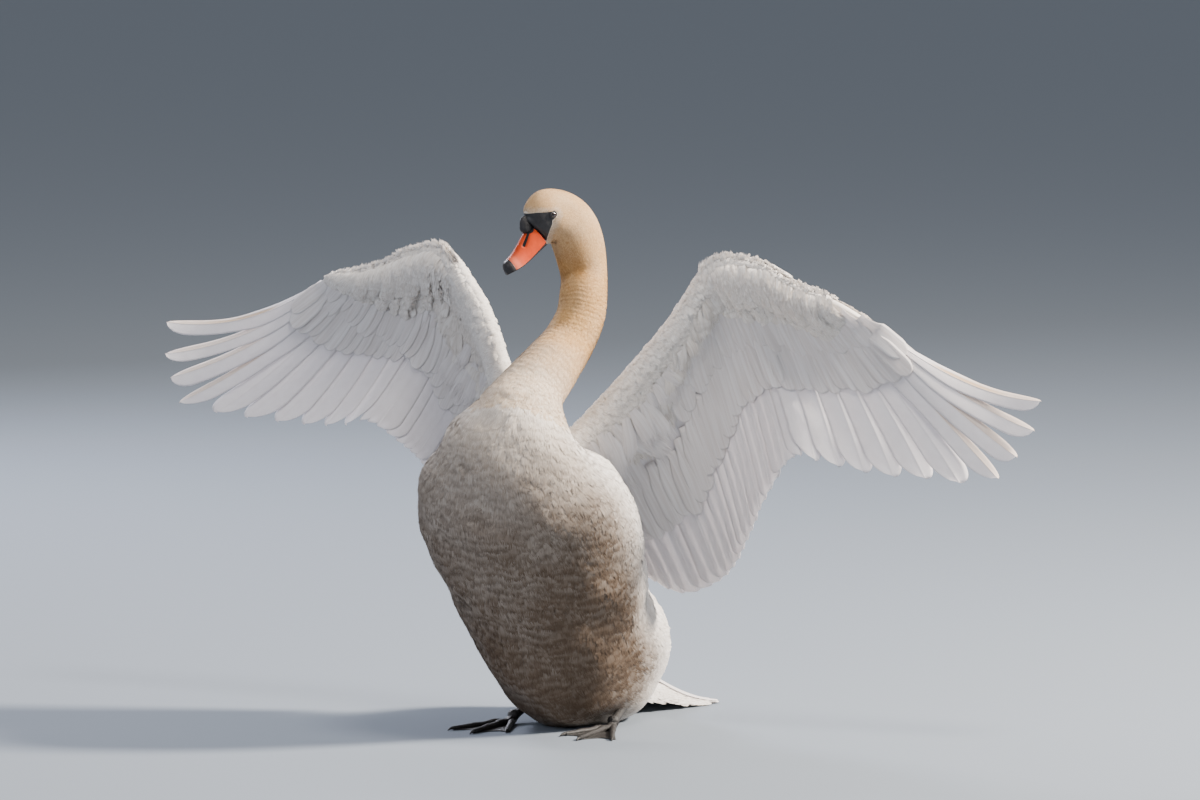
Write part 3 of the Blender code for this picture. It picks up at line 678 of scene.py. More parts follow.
def vane_shape(rows, columns, blunt=0.2, root=0.45):
    """Outline of a firm feather: a grid that widens from the root and ends in a half ellipse."""
    t = 1 - (1 - np.linspace(0, 1, rows)) ** 1.25
    t[-1] = 0.997
    swell = root + (1 - root) * smooth(0.0, 0.45, t)
    end = np.sqrt(np.clip(1 - np.clip((t - 1 + blunt) / blunt, 0, 1) ** 2, 0, 1))
    x = np.linspace(-1, 1, columns)
    along = np.repeat(t, columns)
    wide = (swell * end)[:, None] * x[None, :]
    return along, wide.ravel(), (rows, columns), rows * columns


def lay(ground, root, tip, width, heights, shape, sway=0.0, cup=0.0, ragged=0.0, thick=0.0, tilt=0.0):
    """Vertices and faces of many feathers of one shape on a ground.

    Each vertex starts on the straight line between root and tip in the ground's own two numbers. It
    moves sideways by its share of the half-width, and off the ground by a height that runs through
    the feather's heights at its root, middle and tip on a parabola. A cup lowers the edges, a tilt
    raises one edge, sway bends the tip sideways, and ragged strands end at random lengths and
    heights. With a thickness the feather has two faces and a rim, else it is one thin sheet.
    """
    along, wide, faces, strands = shape
    count = len(width)
    t = np.repeat(along[None, :], count, axis=0)
    x = np.repeat(wide[None, :], count, axis=0)
    loose = np.zeros_like(t)
    if ragged:
        extra = t.shape[1] - strands
        t[:, strands:] += rng.uniform(-ragged, ragged * 0.6, (count, extra))
        x[:, strands:] += rng.normal(0, 0.09, (count, extra))
        loose[:, strands:] = rng.normal(0, 0.034, (count, extra)) * width[:, None]
    u = root[0][:, None] + (tip[0] - root[0])[:, None] * t
    v = root[1][:, None] + (tip[1] - root[1])[:, None] * t
    place, normal, along_u, along_v = ground(u, v)
    ahead = (tip[0] - root[0])[:, None, None] * along_u + (tip[1] - root[1])[:, None, None] * along_v
    aside = np.cross(normal, unit(ahead))
    low, middle, high = (np.asarray(h)[:, None] for h in heights)
    height = low * (1 - t) * (1 - 2 * t) + 4 * middle * t * (1 - t) + high * t * (2 * t - 1)
    half = width[:, None] / 2
    height = height + loose + tilt * x - np.reshape(cup, (-1, 1)) * half * x**2
    shift = half * (x + np.reshape(sway, (-1, 1)) * t**2)
    points = place + aside * shift[..., None] + normal * height[..., None]
    each = points.shape[1]
    if thick:
        body = normal * (thick / 2)
        points = np.concatenate([points + body, points - body], axis=1)
        faces = [sheet_faces(*faces)]
        each *= 2
        t = np.concatenate([t, t], axis=1)
        x = np.concatenate([x, x], axis=1)
    first = (np.arange(count) * each)[:, None, None]
    all_faces = [(f[None, :, :] + first).reshape(-1, f.shape[1]) for f in faces]
    return points, all_faces, t, x


BAKE_PATCH = 0.003  # size of a feather on the unwrap


def bake_places(root_u, root_v, t, x, box):
    """Place of each vertex on the unwrap of the ground: its root's place in the ground's box, with
    the feather drawn small beside it."""
    low_u, high_u, low_v, high_v = box
    u = 0.01 + 0.97 * (root_u - low_u) / (high_u - low_u)
    v = 0.01 + 0.97 * (root_v - low_v) / (high_v - low_v)
    return np.stack([
        u[:, None] + BAKE_PATCH * (0.5 + 0.5 * x),
        v[:, None] + BAKE_PATCH * np.clip(t, 0, 1.2),
    ], axis=-1).reshape(-1, 2)


def coat_layer(laid, roots, box, **values):
    """A layer of a coat: what lay() returned, its bake places, and the values its feathers carry, one
    for the layer, for each feather or for each vertex."""
    count = len(laid[2])
    values = {key: np.reshape(v, (count, -1) if np.ndim(v) else (1, 1)) for key, v in values.items()}
    return {"laid": laid, "bake": bake_places(*roots, laid[2], laid[3], box), "values": values}


def coat_piece(name, layers, material, slot):
    """One mesh from several layers of feathers."""
    points, faces, maps, vanes, start = [], [], [], [], 0
    keys = layers[0]["values"].keys()
    values = {key: [] for key in keys}
    for layer in layers:
        here, own_faces, t, x = layer["laid"]
        flat = here.reshape(-1, 3)
        points.append(flat)
        faces += [f + start for f in own_faces]
        maps.append(layer["bake"])
        vanes.append(np.stack([x, t], axis=-1).reshape(-1, 2))
        for key in keys:
            values[key].append(np.broadcast_to(layer["values"][key], t.shape).ravel())
        start += len(flat)
    piece = new_piece(name, np.concatenate(points), faces, material)
    set_map(piece, "OFBake", np.concatenate(maps))
    set_map(piece, "vane", np.concatenate(vanes))
    for key in keys:
        set_value(piece, key, np.concatenate(values[key]))
    return finished(piece, slot)


# ---- materials


def linear(hex_colour):
    """The linear colour of an sRGB hex value such as #E8D0A8."""
    part = np.array([int(hex_colour[i:i + 2], 16) for i in (1, 3, 5)]) / 255
    value = np.where(part <= 0.04045, part / 12.92, ((part + 0.055) / 1.055) ** 2.4)
    return (*[float(v) for v in value], 1.0)


class Look:
    """A new material and its node tree."""

    def __init__(self, name):
        self.material = bpy.data.materials.new(name)
        self.material.use_nodes = True
        self.tree = self.material.node_tree
        self.tree.nodes.clear()

    def add(self, kind, inputs=None, output=0, **settings):
        """Adds a node with its settings and gives one of its outputs. Each input is a value, a hex
        colour or the socket that feeds it."""
        made = self.tree.nodes.new("ShaderNode" + kind)
        for key, value in settings.items():
            setattr(made, key, value)
        for key, value in (inputs or {}).items():
            if isinstance(value, bpy.types.NodeSocket):
                self.tree.links.new(value, made.inputs[key])
            else:
                made.inputs[key].default_value = linear(value) if isinstance(value, str) else value
        return made.outputs[output] if len(made.outputs) else None

    def layered(self, colour, *layers):
        """The colour under others, each laid on by its share, or multiplied in by it."""
        for share, over, *blend in layers:
            blend_type = blend[0] if blend else "MIX"
            pair = {0: share, 6: colour, 7: over}
            colour = self.add("Mix", pair, 2, data_type="RGBA", blend_type=blend_type)
        return colour

    def surfaced(self, finish, bump=(), through=0.0):
        """The material with its finish as inputs of the Principled shader, a bump of a height, its
        depth in metres and its strength, and the share of light that passes through."""
        if bump:
            relief = dict(zip(("Height", "Distance", "Strength"), bump))
            finish = {**finish, "Normal": self.add("Bump", relief)}
        light = self.add("BsdfPrincipled", finish)
        if through:
            glow = self.add("BsdfTranslucent", {"Color": finish["Base Color"]})
            light = self.add("MixShader", {0: through, 1: light, 2: glow})
        self.add("OutputMaterial", {"Surface": light})
        return self.material


WATER_STAIN_AND_SHADE = "#6F5E4F"  # grey-brown of the breast: partly water stain, partly painted shade


def feather_material(name, white, stained, shade, through, strands, furrow_shade, rough=0.75):
    """Feather keratin: a matt sheet that lets some light through, whiter where it is clean and stained
    where the attributes `stain` and `grime` say; the grey-brown of `grime` is partly water stain and
    partly painted shade. Each feather differs a little by its `fleck`, and strands run along it, so many
    across its width, with painted shade darkening the grooves between them."""
    look = Look(name)
    stain, grime, fleck = (
        look.add("Attribute", None, "Fac", attribute_name=key) for key in ("stain", "grime", "fleck")
    )
    uv = look.add("UVMap", uv_map="vane")
    aside, along = (look.add("SeparateXYZ", {0: uv}, axis) for axis in (0, 1))
    across, own = (
        look.add("Math", {0: value, 1: factor}, operation="MULTIPLY")
        for value, factor in ((aside, strands), (fleck, 90.0))
    )
    place = look.add("CombineXYZ", {0: across, 1: along, 2: own})
    hairs = look.add("TexNoise", {"Vector": place, "Scale": 1.0, "Detail": 2.0}, "Fac")
    # Painted shade: where the strands' bump is low, in the grooves between them, the colour is multiplied
    # by the darker furrow colour.
    deep = look.add("MapRange", {"Value": hairs, "From Min": 0.62, "From Max": 0.30})
    colour = look.layered(
        white, (stain, stained), (grime, WATER_STAIN_AND_SHADE), (fleck, shade, "MULTIPLY"),
        (deep, furrow_shade, "MULTIPLY"),
    )
    finish = {"Base Color": colour, "Roughness": rough, "IOR": 1.45, "Specular IOR Level": 0.2}
    return look.surfaced(finish, (hairs, 0.0004, 0.5), through)


def flight_material():
    """Vane of a flight feather: smooth keratin with barbs 1.2 mm apart drawn, as finer ones would
    not show, a straw-coloured shaft, and light shining through."""
    look = Look("flight_feather_vane")
    stain, shaft = (
        look.add("Attribute", None, "Fac", attribute_name=key) for key in ("stain", "shaft")
    )
    uv = look.add("UVMap", uv_map="vane")
    side, along = (look.add("SeparateXYZ", {0: uv}, axis) for axis in (0, 1))
    aside = look.add("Math", {0: side}, operation="ABSOLUTE")
    slant = look.add("Math", {0: aside, 1: 1.5, 2: along}, operation="MULTIPLY_ADD")
    line = look.add("CombineXYZ", {0: slant, 1: 0.0, 2: 0.0})
    waves = {"Vector": line, "Scale": 130.0, "Distortion": 0.6, "Detail": 1.0}
    barbs = look.add("TexWave", waves, "Fac", bands_direction="X")
    soft = look.add("TexNoise", {"Vector": uv, "Scale": 60.0, "Detail": 3.0}, "Fac")
    # The stained colour is the outermost primary's straw stripe and, on the free leading vanes, an
    # olive-tan that is partly painted shade.
    colour = look.layered("#F4F1F3", (soft, "#E9E4E6"), (stain, "#CDA873"), (shaft, "#C9A87C"))
    finish = {"Base Color": colour, "Roughness": 0.55, "Specular IOR Level": 0.3}
    return look.surfaced(finish, (barbs, 0.00025, 0.5), 0.28)


def skin_material():
    """Feathered skin, stained as the coat is and with the same painted shade, and bare black skin on the
    lores, where the attribute `lore` (millimetres inside the patch) is above zero. Pores and creases are
    0.8 mm apart."""
    look = Look("bird_skin")
    stain, grime, lore = (
        look.add("Attribute", None, "Fac", attribute_name=key) for key in ("stain", "grime", "lore")
    )
    black = look.add("MapRange", {"Value": lore, "From Min": -0.2, "From Max": 0.3})
    spot = look.add("TexCoord", None, "Object")
    creases = look.add("TexNoise", {"Vector": spot, "Scale": 1250.0, "Detail": 2.0}, "Fac")
    patchy = look.add("TexNoise", {"Vector": spot, "Scale": 260.0, "Detail": 3.0}, "Fac")
    # The grey-brown layer is water stain and painted shade, as on the coat.
    under = look.layered("#E9E4DE", (stain, "#D3B58A"), (grime, WATER_STAIN_AND_SHADE))
    colour = look.layered(under, (black, look.layered("#0B0B0C", (patchy, "#2A2A2D"))))
    rough = look.add("MapRange", {"Value": black, "To Min": 0.85, "To Max": 0.48})
    return look.surfaced({"Base Color": colour, "Roughness": rough}, (creases, 0.0003, 0.6))


def bill_material():
    """Bill sheath: satin orange-red keratin, pinker to the tip and along the cutting edge, black
    where the attribute `ink` (millimetres inside the black) is above zero. Fine grain runs along."""
    look = Look("orange_bill_sheath")
    ink, pink = (look.add("Attribute", None, "Fac", attribute_name=key) for key in ("ink", "pink"))
    uv = look.add("UVMap", uv_map="bill")
    stretched = look.add("Mapping", {"Vector": uv, "Scale": (60.0, 700.0, 1.0)})
    grain = look.add("TexNoise", {"Vector": stretched, "Scale": 1.0, "Detail": 3.0}, "Fac")
    tone = look.add("TexNoise", {"Vector": uv, "Scale": 90.0, "Detail": 2.0}, "Fac")
    black = look.add("MapRange", {"Value": ink, "From Min": -0.15, "From Max": 0.2})
    colour = look.layered("#CE4200", (tone, "#A02D00"), (pink, "#C66A50"), (black, "#0C0A0A"))
    finish = {"Base Color": colour, "Roughness": 0.55, "Specular IOR Level": 0.3}
    return look.surfaced(finish, (grain, 0.0002, 0.5))


def horn_material(name, colour, rough):
    """Dark horn or bare skin: nearly black with a dull shine and fine pits 0.7 mm apart."""
    look = Look(name)
    spot = look.add("TexCoord", None, "Object")
    pits = look.add("TexNoise", {"Vector": spot, "Scale": 1400.0, "Detail": 2.0}, "Fac")
    finish = {"Base Color": look.layered(colour, (pits, "#2B282A")), "Roughness": rough}
    return look.surfaced(finish, (pits, 0.0002, 0.4))


def eye_material():
    """Wet glass-like eye: a dark brown iris round a black pupil, by the attribute `iris`, the
    distance from the pupil's centre as a share of the eye's radius."""
    look = Look("glass_eye")
    iris = look.add("Attribute", None, "Fac", attribute_name="iris")
    ring = look.add("MapRange", {"Value": iris, "From Min": 0.34, "From Max": 0.40})
    rim = look.add("MapRange", {"Value": iris, "From Min": 0.62, "From Max": 0.75})
    colour = look.layered("#050404", (ring, "#2E1A10"), (rim, "#0A0808"))
    return look.surfaced({"Base Color": colour, "Roughness": 0.04, "Coat Weight": 1.0})


def foot_material():
    """Scaly leg skin: near-black, in scutes about 2.5 mm across with paler lines between."""
    look = Look("black_scaly_foot_skin")
    spot = look.add("TexCoord", None, "Object")
    cells = look.add("TexVoronoi", {"Vector": spot, "Scale": 400.0}, feature="DISTANCE_TO_EDGE")
    edge = look.add("MapRange", {"Value": cells, "From Max": 0.12})
    colour = look.layered("#3A3634", (edge, "#171616"))
    return look.surfaced({"Base Color": colour, "Roughness": 0.5}, (edge, 0.0004, 0.8))


MATERIALS = {  # by the names that the pieces use; the floor is pale grey-blue paper
    # The last colour of each feather material is painted shade for the grooves between strands.
    "down": feather_material(
        "white_contour_feather", "#F6F4F2", "#EBD3AE", "#D8D1CA", 0.20, 4.0, "#E2DDD8"
    ),
    "buff": feather_material(
        "stained_neck_feather", "#E8DFD3", "#D7B07A", "#C9B091", 0.16, 3.0, "#DCCFBE"
    ),
    "covert": feather_material(
        "white_covert_vane", "#F7F5F6", "#E4DACB", "#E6E1DE", 0.34, 5.0, "#EFECEA", 0.6
    ),
    "flight": flight_material(),
    "skin": skin_material(),
    "bill": bill_material(),
    "horn": horn_material("black_bill_horn", "#080708", 0.5),
    "knob": horn_material("black_knob_skin", "#0A090A", 0.6),
    "eye": eye_material(),
    "foot": foot_material(),
    "floor": Look("matt_studio_floor").surfaced({"Base Color": "#767F8A", "Roughness": 0.9}),
}

# ---- markings

# Outline of the bare black lores, forward of the gape and above it, in millimetres.
LORE = (
    (-36.5, 39.0), (-29.0, 41.5), (-22.0, 45.5), (-12.3, 51.6), (-3.0, 55.5), (3.0, 57.5),
    (14.0, 57.5), (14.0, -3.0), (-3.6, -2.6), (-5.5, 3.5), (-9.0, 10.0), (-14.5, 16.5),
    (-21.5, 22.0), (-24.5, 27.0), (-31.0, 28.3), (-36.0, 30.0), (-38.0, 34.5),
)


def inside_outline(outline, x, y):
    """Distance of points inside a closed outline to its nearest edge, negative outside. A point is
    inside if a level line from it crosses an odd number of edges."""
    corners = np.array(outline, float)
    onward = np.roll(corners, -1, axis=0)
    nearest = np.full(np.shape(x), np.inf)
    inside = np.zeros(np.shape(x), bool)
    for (ax, ay), (bx, by) in zip(corners, onward):
        dx, dy = bx - ax, by - ay
        t = np.clip(((x - ax) * dx + (y - ay) * dy) / (dx * dx + dy * dy), 0, 1)
        nearest = np.minimum(nearest, np.hypot(x - ax - t * dx, y - ay - t * dy))
        crosses = (ay > y) != (by > y)
        level = np.where(crosses, (bx - ax) * (y - ay) / (by - ay if by != ay else 1.0) + ax, -np.inf)
        inside ^= crosses & (x < level)
    return np.where(inside, nearest, -nearest)


def lore_depth(points):
    """Millimetres inside the bare lores, negative in the feathers. Past 0.12 m from the gape there
    are none."""
    ahead, above, _ = in_head(points)
    depth = inside_outline(LORE, ahead * 1000, above * 1000)
    return np.where(np.linalg.norm(points - GAPE, axis=-1) > 0.12, -20.0, depth)


def on_trunk(station):
    """1 on the trunk, fading out at the neck's base and at the tail's root."""
    return band(1.0, 2.0, 6.5, 7.5, station)


def body_stain(station, angle, points):
    """Share of buff stain: slight on the breast, rising up the lower neck, golden on the neck and
    cream on the head, with pale cheeks, a tan throat and a paler line above the lores."""
    front = -np.cos(angle)
    by_station = np.interp(
        station,
        [6.4, 7.4, 8.2, 9.0, 10.0, 11.5, 13.2, 14.5, 16.0, 18.0],
        [0.02, 0.10, 0.20, 0.55, 0.92, 1.00, 0.90, 0.80, 0.78, 0.70],
    )
    ahead, above, _ = in_head(points)
    cheek = np.exp(-(((ahead + 0.035) / 0.022) ** 2 + ((above - 0.004) / 0.022) ** 2))
    throat = np.exp(-((station - 13.2) / 0.7) ** 2) * smooth(0.0, 0.8, front)
    crown = smooth(15.0, 16.0, station) * smooth(0.2, 0.9, -front)
    pale = np.exp(-((lore_depth(points) + 2.0) / 3.5) ** 2) * smooth(14.5, 15.5, station)
    breast = 0.26 * smooth(-0.2, 0.5, front) * on_trunk(station)
    stain = by_station + breast - 0.15 * cheek + 0.15 * throat + 0.08 * crown - 0.35 * pale
    return np.clip(stain + 0.06 * drift(points) * smooth(7.0, 9.0, station), 0, 1.2)


def body_grime(station, angle, points):
    """Share of grey-brown on the breast and belly, partly water stain and partly painted shade: deeper to
    the front, deeper downwards towards the shaded underside, a little more on the bird's left as painted
    shade, and painted shade between the ripples."""
    front = smooth(-0.40, 0.45, -np.cos(angle)) * band(1.0, 2.2, 6.0, 7.6, station)
    tall = points[..., 2]
    # Painted shade, together with water stain: the grey-brown deepens downwards, towards the shaded
    # underside.
    low = 0.42 + 0.38 * (1 - smooth(0.30, 0.56, tall)) + 0.14 * (1 - smooth(0.10, 0.38, tall))
    # Painted shade: a little more grey-brown on the bird's left, where the main lamp lights the breast.
    low = low * (1 + 0.12 * smooth(0.0, 0.8, np.sin(angle)) * (1 - smooth(0.36, 0.48, tall)))
    # Painted shade: the grey-brown is deeper in the troughs between the ripples.
    return np.clip(front * (low + 0.03 * lumps(points) - 0.07 * ripple(points)), 0, 1)


# ---- skin


SKIN_FLOOR = 0.004  # least height of the skin over the floor


def body_skin(material):
    """The body as one closed skin, sunk by the coat's depth and finer on the head. It keeps a small
    height over the floor."""
    stations = np.concatenate([
        np.linspace(0.05, 7.0, 80, endpoint=False),
        np.linspace(7.0, 14.0, 90, endpoint=False),
        np.linspace(14.0, 17.98, 150),
    ])
    a, s = np.meshgrid(full_turn(144), stations)
    place, normal = (body_read(grid, a, s) for grid in CORE)
    points = place - unit(normal) * lookup(COAT, s, 5)[..., None]
    points[..., 2] = np.maximum(points[..., 2], SKIN_FLOOR)
    return closed_piece("skin", *capped(points), material)


def arm_skin(side, material):
    """The arm of one wing as a closed form that sits in its covering: rings from the rear over the
    upper side, round the leading edge and back along the under side."""
    around = 32
    turn = full_turn(around)
    share = (1 - np.cos(turn)) / 2
    s = np.repeat(np.linspace(0.02, 1.96, 70)[:, None], around, axis=1)
    depth = lookup(ARM_DEPTH, s)
    rear = arm_share(side, s)
    front = 0.2 * depth / ray_length(side, s)
    chord = rear - (rear - front) * share[None, :]
    half = np.maximum(arm_swell(side, s, chord) - depth, 0.0012)
    half = half * np.sign(np.sin(turn))[None, :] * np.abs(np.sin(turn))[None, :] ** 0.35
    return closed_piece("arm", *capped(off_wing(side, s, chord, half)), material)


def eye_seat(side):
    """Centre of an eye and the direction it looks, square to the head's surface there."""
    angles = np.linspace(0, 2 * math.pi, 721)
    a, s = np.meshgrid(angles, np.linspace(14.5, 17, 101))
    points, normals, _, _ = body_ground(a, s)
    ahead, above, aside = in_head(points)
    miss = np.hypot(ahead - EYE[0], above - EYE[1]) + np.where(aside * side < 0, 1.0, 0.0)
    best = np.unravel_index(np.argmin(miss), miss.shape)
    centre = head_place(*EYE, side * (abs(aside[best]) - EYE_SINK))
    return centre, normals[best]


EYE_SEATS = {side: eye_seat(side) for side, _ in SIDES}
EYE_CLEAR = 0.0072  # no feathers grow nearer to an eye's centre
EYE_BARE = 6.7  # millimetres of black skin round it


def ring_frame(axis):
    """Two directions square to an axis: backward along the head, and up."""
    back = unit(-FORWARD - axis * (-FORWARD @ axis))
    return back, np.cross(axis, back)


def about(centre, axis, frame_axes, wide, high, turn):
    """Points so wide of an axis and so high along it, by their turn round it."""
    ways = zip((wide * np.cos(turn), wide * np.sin(turn), high), (*frame_axes, axis))
    return centre + sum(distance[..., None] * way for distance, way in ways)


def eyelid(side, material):
    """Lid round an eye: a ring whose radius follows an almond, pointed slightly to front and back,
    with a round section that swells above as the brow's fold."""
    centre, axis = EYE_SEATS[side]
    back, up = ring_frame(axis)
    if up @ UPWARD < 0:
        up = -up
    turn = full_turn(56)
    section = full_turn(12)
    t, q = np.meshgrid(turn, section, indexing="ij")
    radius = LID_RADIUS * (1 + 0.10 * np.cos(2 * t)) + 0.0003 * np.cos(4 * t)
    thick = LID_THICK + 0.0004 * np.clip(np.sin(t), 0, 1)
    wide = radius + thick * np.cos(q)
    high = LID_RISE + thick * np.sin(q)
    points = about(centre, axis, (back, up), wide, high, t)
    faces = grid_faces(len(turn) + 1, len(section), closed=True) % (len(turn) * len(section))
    return closed_piece("lid", points.reshape(-1, 3), faces, material)


def make_skin():
    """One skin for the body, the arms and the lids."""
    skin = body_skin(MATERIALS["skin"])
    for side in ("left", "right"):
        skin = joined(skin, arm_skin(side, MATERIALS["skin"]))
    for side in (1, -1):
        skin = joined(skin, eyelid(side, MATERIALS["skin"]))
    skin.name = "skin"
    mesh = skin.data
    points = np.zeros(len(mesh.vertices) * 3, np.float32)
    mesh.vertices.foreach_get("co", points)
    points = points.reshape(-1, 3).astype(float)
    lore = lore_depth(points)
    for centre, _ in EYE_SEATS.values():
        lore = np.maximum(lore, EYE_BARE - np.linalg.norm(points - centre, axis=1) * 1000)
    station, angle = nearest_body(points)
    set_value(skin, "lore", lore)
    on_body = np.linalg.norm(points - body_place(angle, station), axis=1) < 0.02
    set_value(skin, "stain", np.where(on_body, body_stain(station, angle, points), 0.05))
    # The body skin carries the coat's grey-brown: water stain and painted shade.
    set_value(skin, "grime", np.where(on_body, body_grime(station, angle, points), 0.0))
    replaced = ["head", "neck_upper", "neck_middle", "neck_lower", "breast", "belly"]
    replaced += [f"wing_{s}_{p}" for s in ("left", "right") for p in ("upper_arm", "forearm", "hand")]
    return finished(skin, "plumage", *replaced)


def nearest_body(points):
    """Station and angle of the body nearest to each point, by the centre line of its grid."""
    centres = BODY[0].mean(axis=1)
    row = np.zeros(len(points), int)
    nearest = np.full(len(points), np.inf)
    for i in range(0, len(centres), 4):
        away = np.linalg.norm(points - centres[i], axis=1)
        row = np.where(away < nearest, i, row)
        nearest = np.minimum(nearest, away)
    station = row * LAST_STATION / (len(centres) - 1)
    away = points - centres[row]
    half = BODY[0].shape[1] // 2
    back = unit(BODY[0][row, 0] - centres[row])
    left = unit(BODY[0][row, half // 2] - centres[row])
    return station, np.arctan2(np.sum(away * left, axis=1), np.sum(away * back, axis=1))


# ---- coat of the body


def body_roots():
    """Roots of the body's feathers, as many in each cell of the body's grid as its area asks for:
    even steps along the running sum of cells, each shifted at random within its step."""
    grid, _, around, onward = BODY
    rows, columns = grid.shape[:2]
    area = np.linalg.norm(np.cross(around, onward), axis=-1)
    area = area * (2 * math.pi / columns) * (LAST_STATION / (rows - 1))
    station = np.linspace(0, LAST_STATION, rows)
    wanted = area / (lookup(COAT, station, 3) * lookup(COAT, station, 4))[:, None]
    run = np.cumsum(wanted.ravel())
    count = int(run[-1])
    cell = np.searchsorted(run, (np.arange(count) + rng.random(count)) / count * run[-1])
    i, j = np.divmod(np.minimum(cell, run.size - 1), columns)
    angle = (j + rng.random(count)) * 2 * math.pi / columns
    return angle, np.clip((i + rng.random(count) - 0.5) * LAST_STATION / (rows - 1), 0.1, 17.97)


COAT_PIECES = (  # name, first and last station, strands at a feather's end, material and finish
    ("coat_rump", 0.0, 2.35, 5, "down", "plumage"),
    ("coat_belly", 2.35, 4.15, 5, "down", "plumage"),
    ("coat_breast", 4.15, 7.0, 5, "down", "plumage"),
    ("coat_neck_lower", 7.0, 10.0, 4, "buff", "neck_plumage"),
    ("coat_neck_upper", 10.0, 14.0, 3, "buff", "neck_plumage"),
    ("coat_head", 14.0, 18.0, 3, "buff", "neck_plumage"),
)
LOWEST_ROOT = -0.012  # feathers rooted below this, under the floor, are left out
FLAT_BELOW = 0.002  # lower points of a feather lie flat on the floor


def feathered(place, station):
    """Whether feathers grow at places of the body: not on the lores, the lids, the bill's base or
    far under the floor."""
    grows = (place[:, 2] > LOWEST_ROOT) & (lore_depth(place) < -0.4)
    for centre, _ in EYE_SEATS.values():
        grows &= np.linalg.norm(place - centre, axis=1) > EYE_CLEAR
    ahead, above, _ = in_head(place)
    return grows & ~((ahead > -0.003) & (above > -0.004) & (station > 16.5))


def body_tips(angle, station, length):
    """Tips of the body's feathers: even steps towards the tail, turned aside by a slow wave and at
    random. On the trunk they gather towards the lower edge of their ripple."""
    place = body_place(angle, station)
    skew = 0.16 * drift(place) + rng.normal(0, 0.14, len(angle))
    tip_angle, tip_station, steps = angle.copy(), station.copy(), 4
    for _ in range(steps):
        around, onward = (body_read(BODY[n], tip_angle, tip_station) for n in (2, 3))
        along = np.maximum(np.linalg.norm(onward, axis=-1), 0.008)
        tip_angle += length / steps * np.sin(skew) / np.linalg.norm(around, axis=-1)
        tip_station = np.maximum(tip_station - length / steps * np.cos(skew) / along, 0.02)
    onward = body_read(BODY[3], tip_angle, tip_station)
    past = (ripple_row(body_place(tip_angle, tip_station)) - 0.15) % 1.0
    drop = past * RIPPLE[1] * 0.85 * on_trunk(station)
    return tip_angle, np.maximum(tip_station - drop / np.maximum(np.abs(onward[:, 2]), 0.05), 0.02)


def body_coat():
    """Feathers of the body in six pieces. They lie towards the tail, each just over the next, and
    ripple in wavy rows: broad ones on the breast and fine rings on the neck."""
    angle, station = body_roots()
    place = body_place(angle, station)
    keep = feathered(place, station)
    angle, station, place = angle[keep], station[keep], place[keep]
    count = len(angle)
    length = lookup(COAT, station, 1) * rng.uniform(0.75, 1.2, count)
    width = lookup(COAT, station, 2) * rng.uniform(0.9, 1.3, count)
    tip_angle, tip_station = body_tips(angle, station, length)
    high = rng.normal(0.010, 0.005, count) * length + 0.0018 * on_trunk(station)
    low = high - 0.09 * length
    middle = low + (high - low) * 0.7
    stain = body_stain(station, angle, place)
    # Grey-brown at each tip: water stain and painted shade of the breast and belly.
    grime = body_grime(station, angle, body_place(tip_angle, tip_station))
    throat = np.exp(-((station - 13.4) / 1.3) ** 2) * smooth(-0.2, 0.7, -np.cos(angle))
    fleck = 0.16 + 0.06 * clumps(place) + rng.uniform(-0.09, 0.09, count) + throat * 0.35
    fleck = np.clip(fleck + 0.10 * smooth(8.0, 10.0, station) * rng.normal(0, 1.0, count), 0, 1)
    for name, first, last, splits, material, slot in COAT_PIECES:
        pick = (station >= first) & (station < last)
        roots = angle[pick], station[pick]
        laid = lay(
            body_ground, roots, (tip_angle[pick], tip_station[pick]), width[pick],
            (low[pick], middle[pick], high[pick]), tuft_shape(splits),
            sway=rng.normal(0, 0.3, pick.sum()), cup=0.04, ragged=0.18,
        )
        points = laid[0]
        floor = 0.0006 + 0.0016 * rng.random(points.shape[:2])
        points[..., 2] = np.where(points[..., 2] < FLAT_BELOW, floor, points[..., 2])
        # Painted shadow: the grey-brown deepens towards each feather's tip, so that dark lines lie under
        # the rows of tips.
        tips = 0.93 + 0.28 * smooth(0.55, 1.0, laid[2])
        layer = coat_layer(
            laid, roots, (0, 2 * math.pi, first - 0.3, last),
            stain=stain[pick], grime=grime[pick][:, None] * tips, fleck=fleck[pick],
        )
        coat_piece(name, [layer], MATERIALS[material], slot)


# ---- wings


def flight_places():
    """Span of each flight feather's shaft, the pitch to its neighbours and its rank, which is 0 on
    the arm and a primary's number on the hand."""
    spans, pitches = [], []
    for first, last, number in (TERTIALS, SECONDARIES):
        pitch = (last - first) / number
        spans.append(first + pitch * (np.arange(number) + 0.5))
        pitches.append(np.full(number, pitch))
    numbers = np.arange(1, PRIMARIES + 1)
    span = np.concatenate([*spans, 1.0 + PRIMARY_PITCH * numbers])
    pitch = np.concatenate([*pitches, np.full(PRIMARIES, PRIMARY_PITCH)])
    return span, pitch, np.concatenate([np.zeros(len(span) - PRIMARIES), numbers])


def vane_widths(room, rank, t):
    """Widths of the leading and the trailing vane down each feather, from the room that it has. Outer
    primaries narrow evenly to widths of their own, and every vane ends in a part of an ellipse."""
    cover = np.where(rank == 0, 1.4, 1.0)[:, None]
    lead, trail = 0.45 * room + 0.002, np.minimum(cover * room + 0.002, 0.040)
    free = smooth(0.30, 0.62, t)[None, :]
    for n, wide in FINGERS.items():
        for vane, share in ((lead, 0.30), (trail, 0.70)):
            vane[rank == n] = vane[rank == n] * (1 - free) + share * wide * free
    root_taper = 0.5 + 0.5 * smooth(0.0, 0.25, t)[None, :]
    for vane, ends in ((lead, (0.07, 0.12, 0.20)), (trail, (0.08, 0.12, 0.12))):
        end = np.interp(rank, [0, 1, 10], ends)[:, None]
        past = np.clip((t[None, :] - 1 + end) / end, 0, 1)
        vane *= np.sqrt(np.clip(1 - past**2, 0.0004, 1)) * root_taper
    return lead, trail


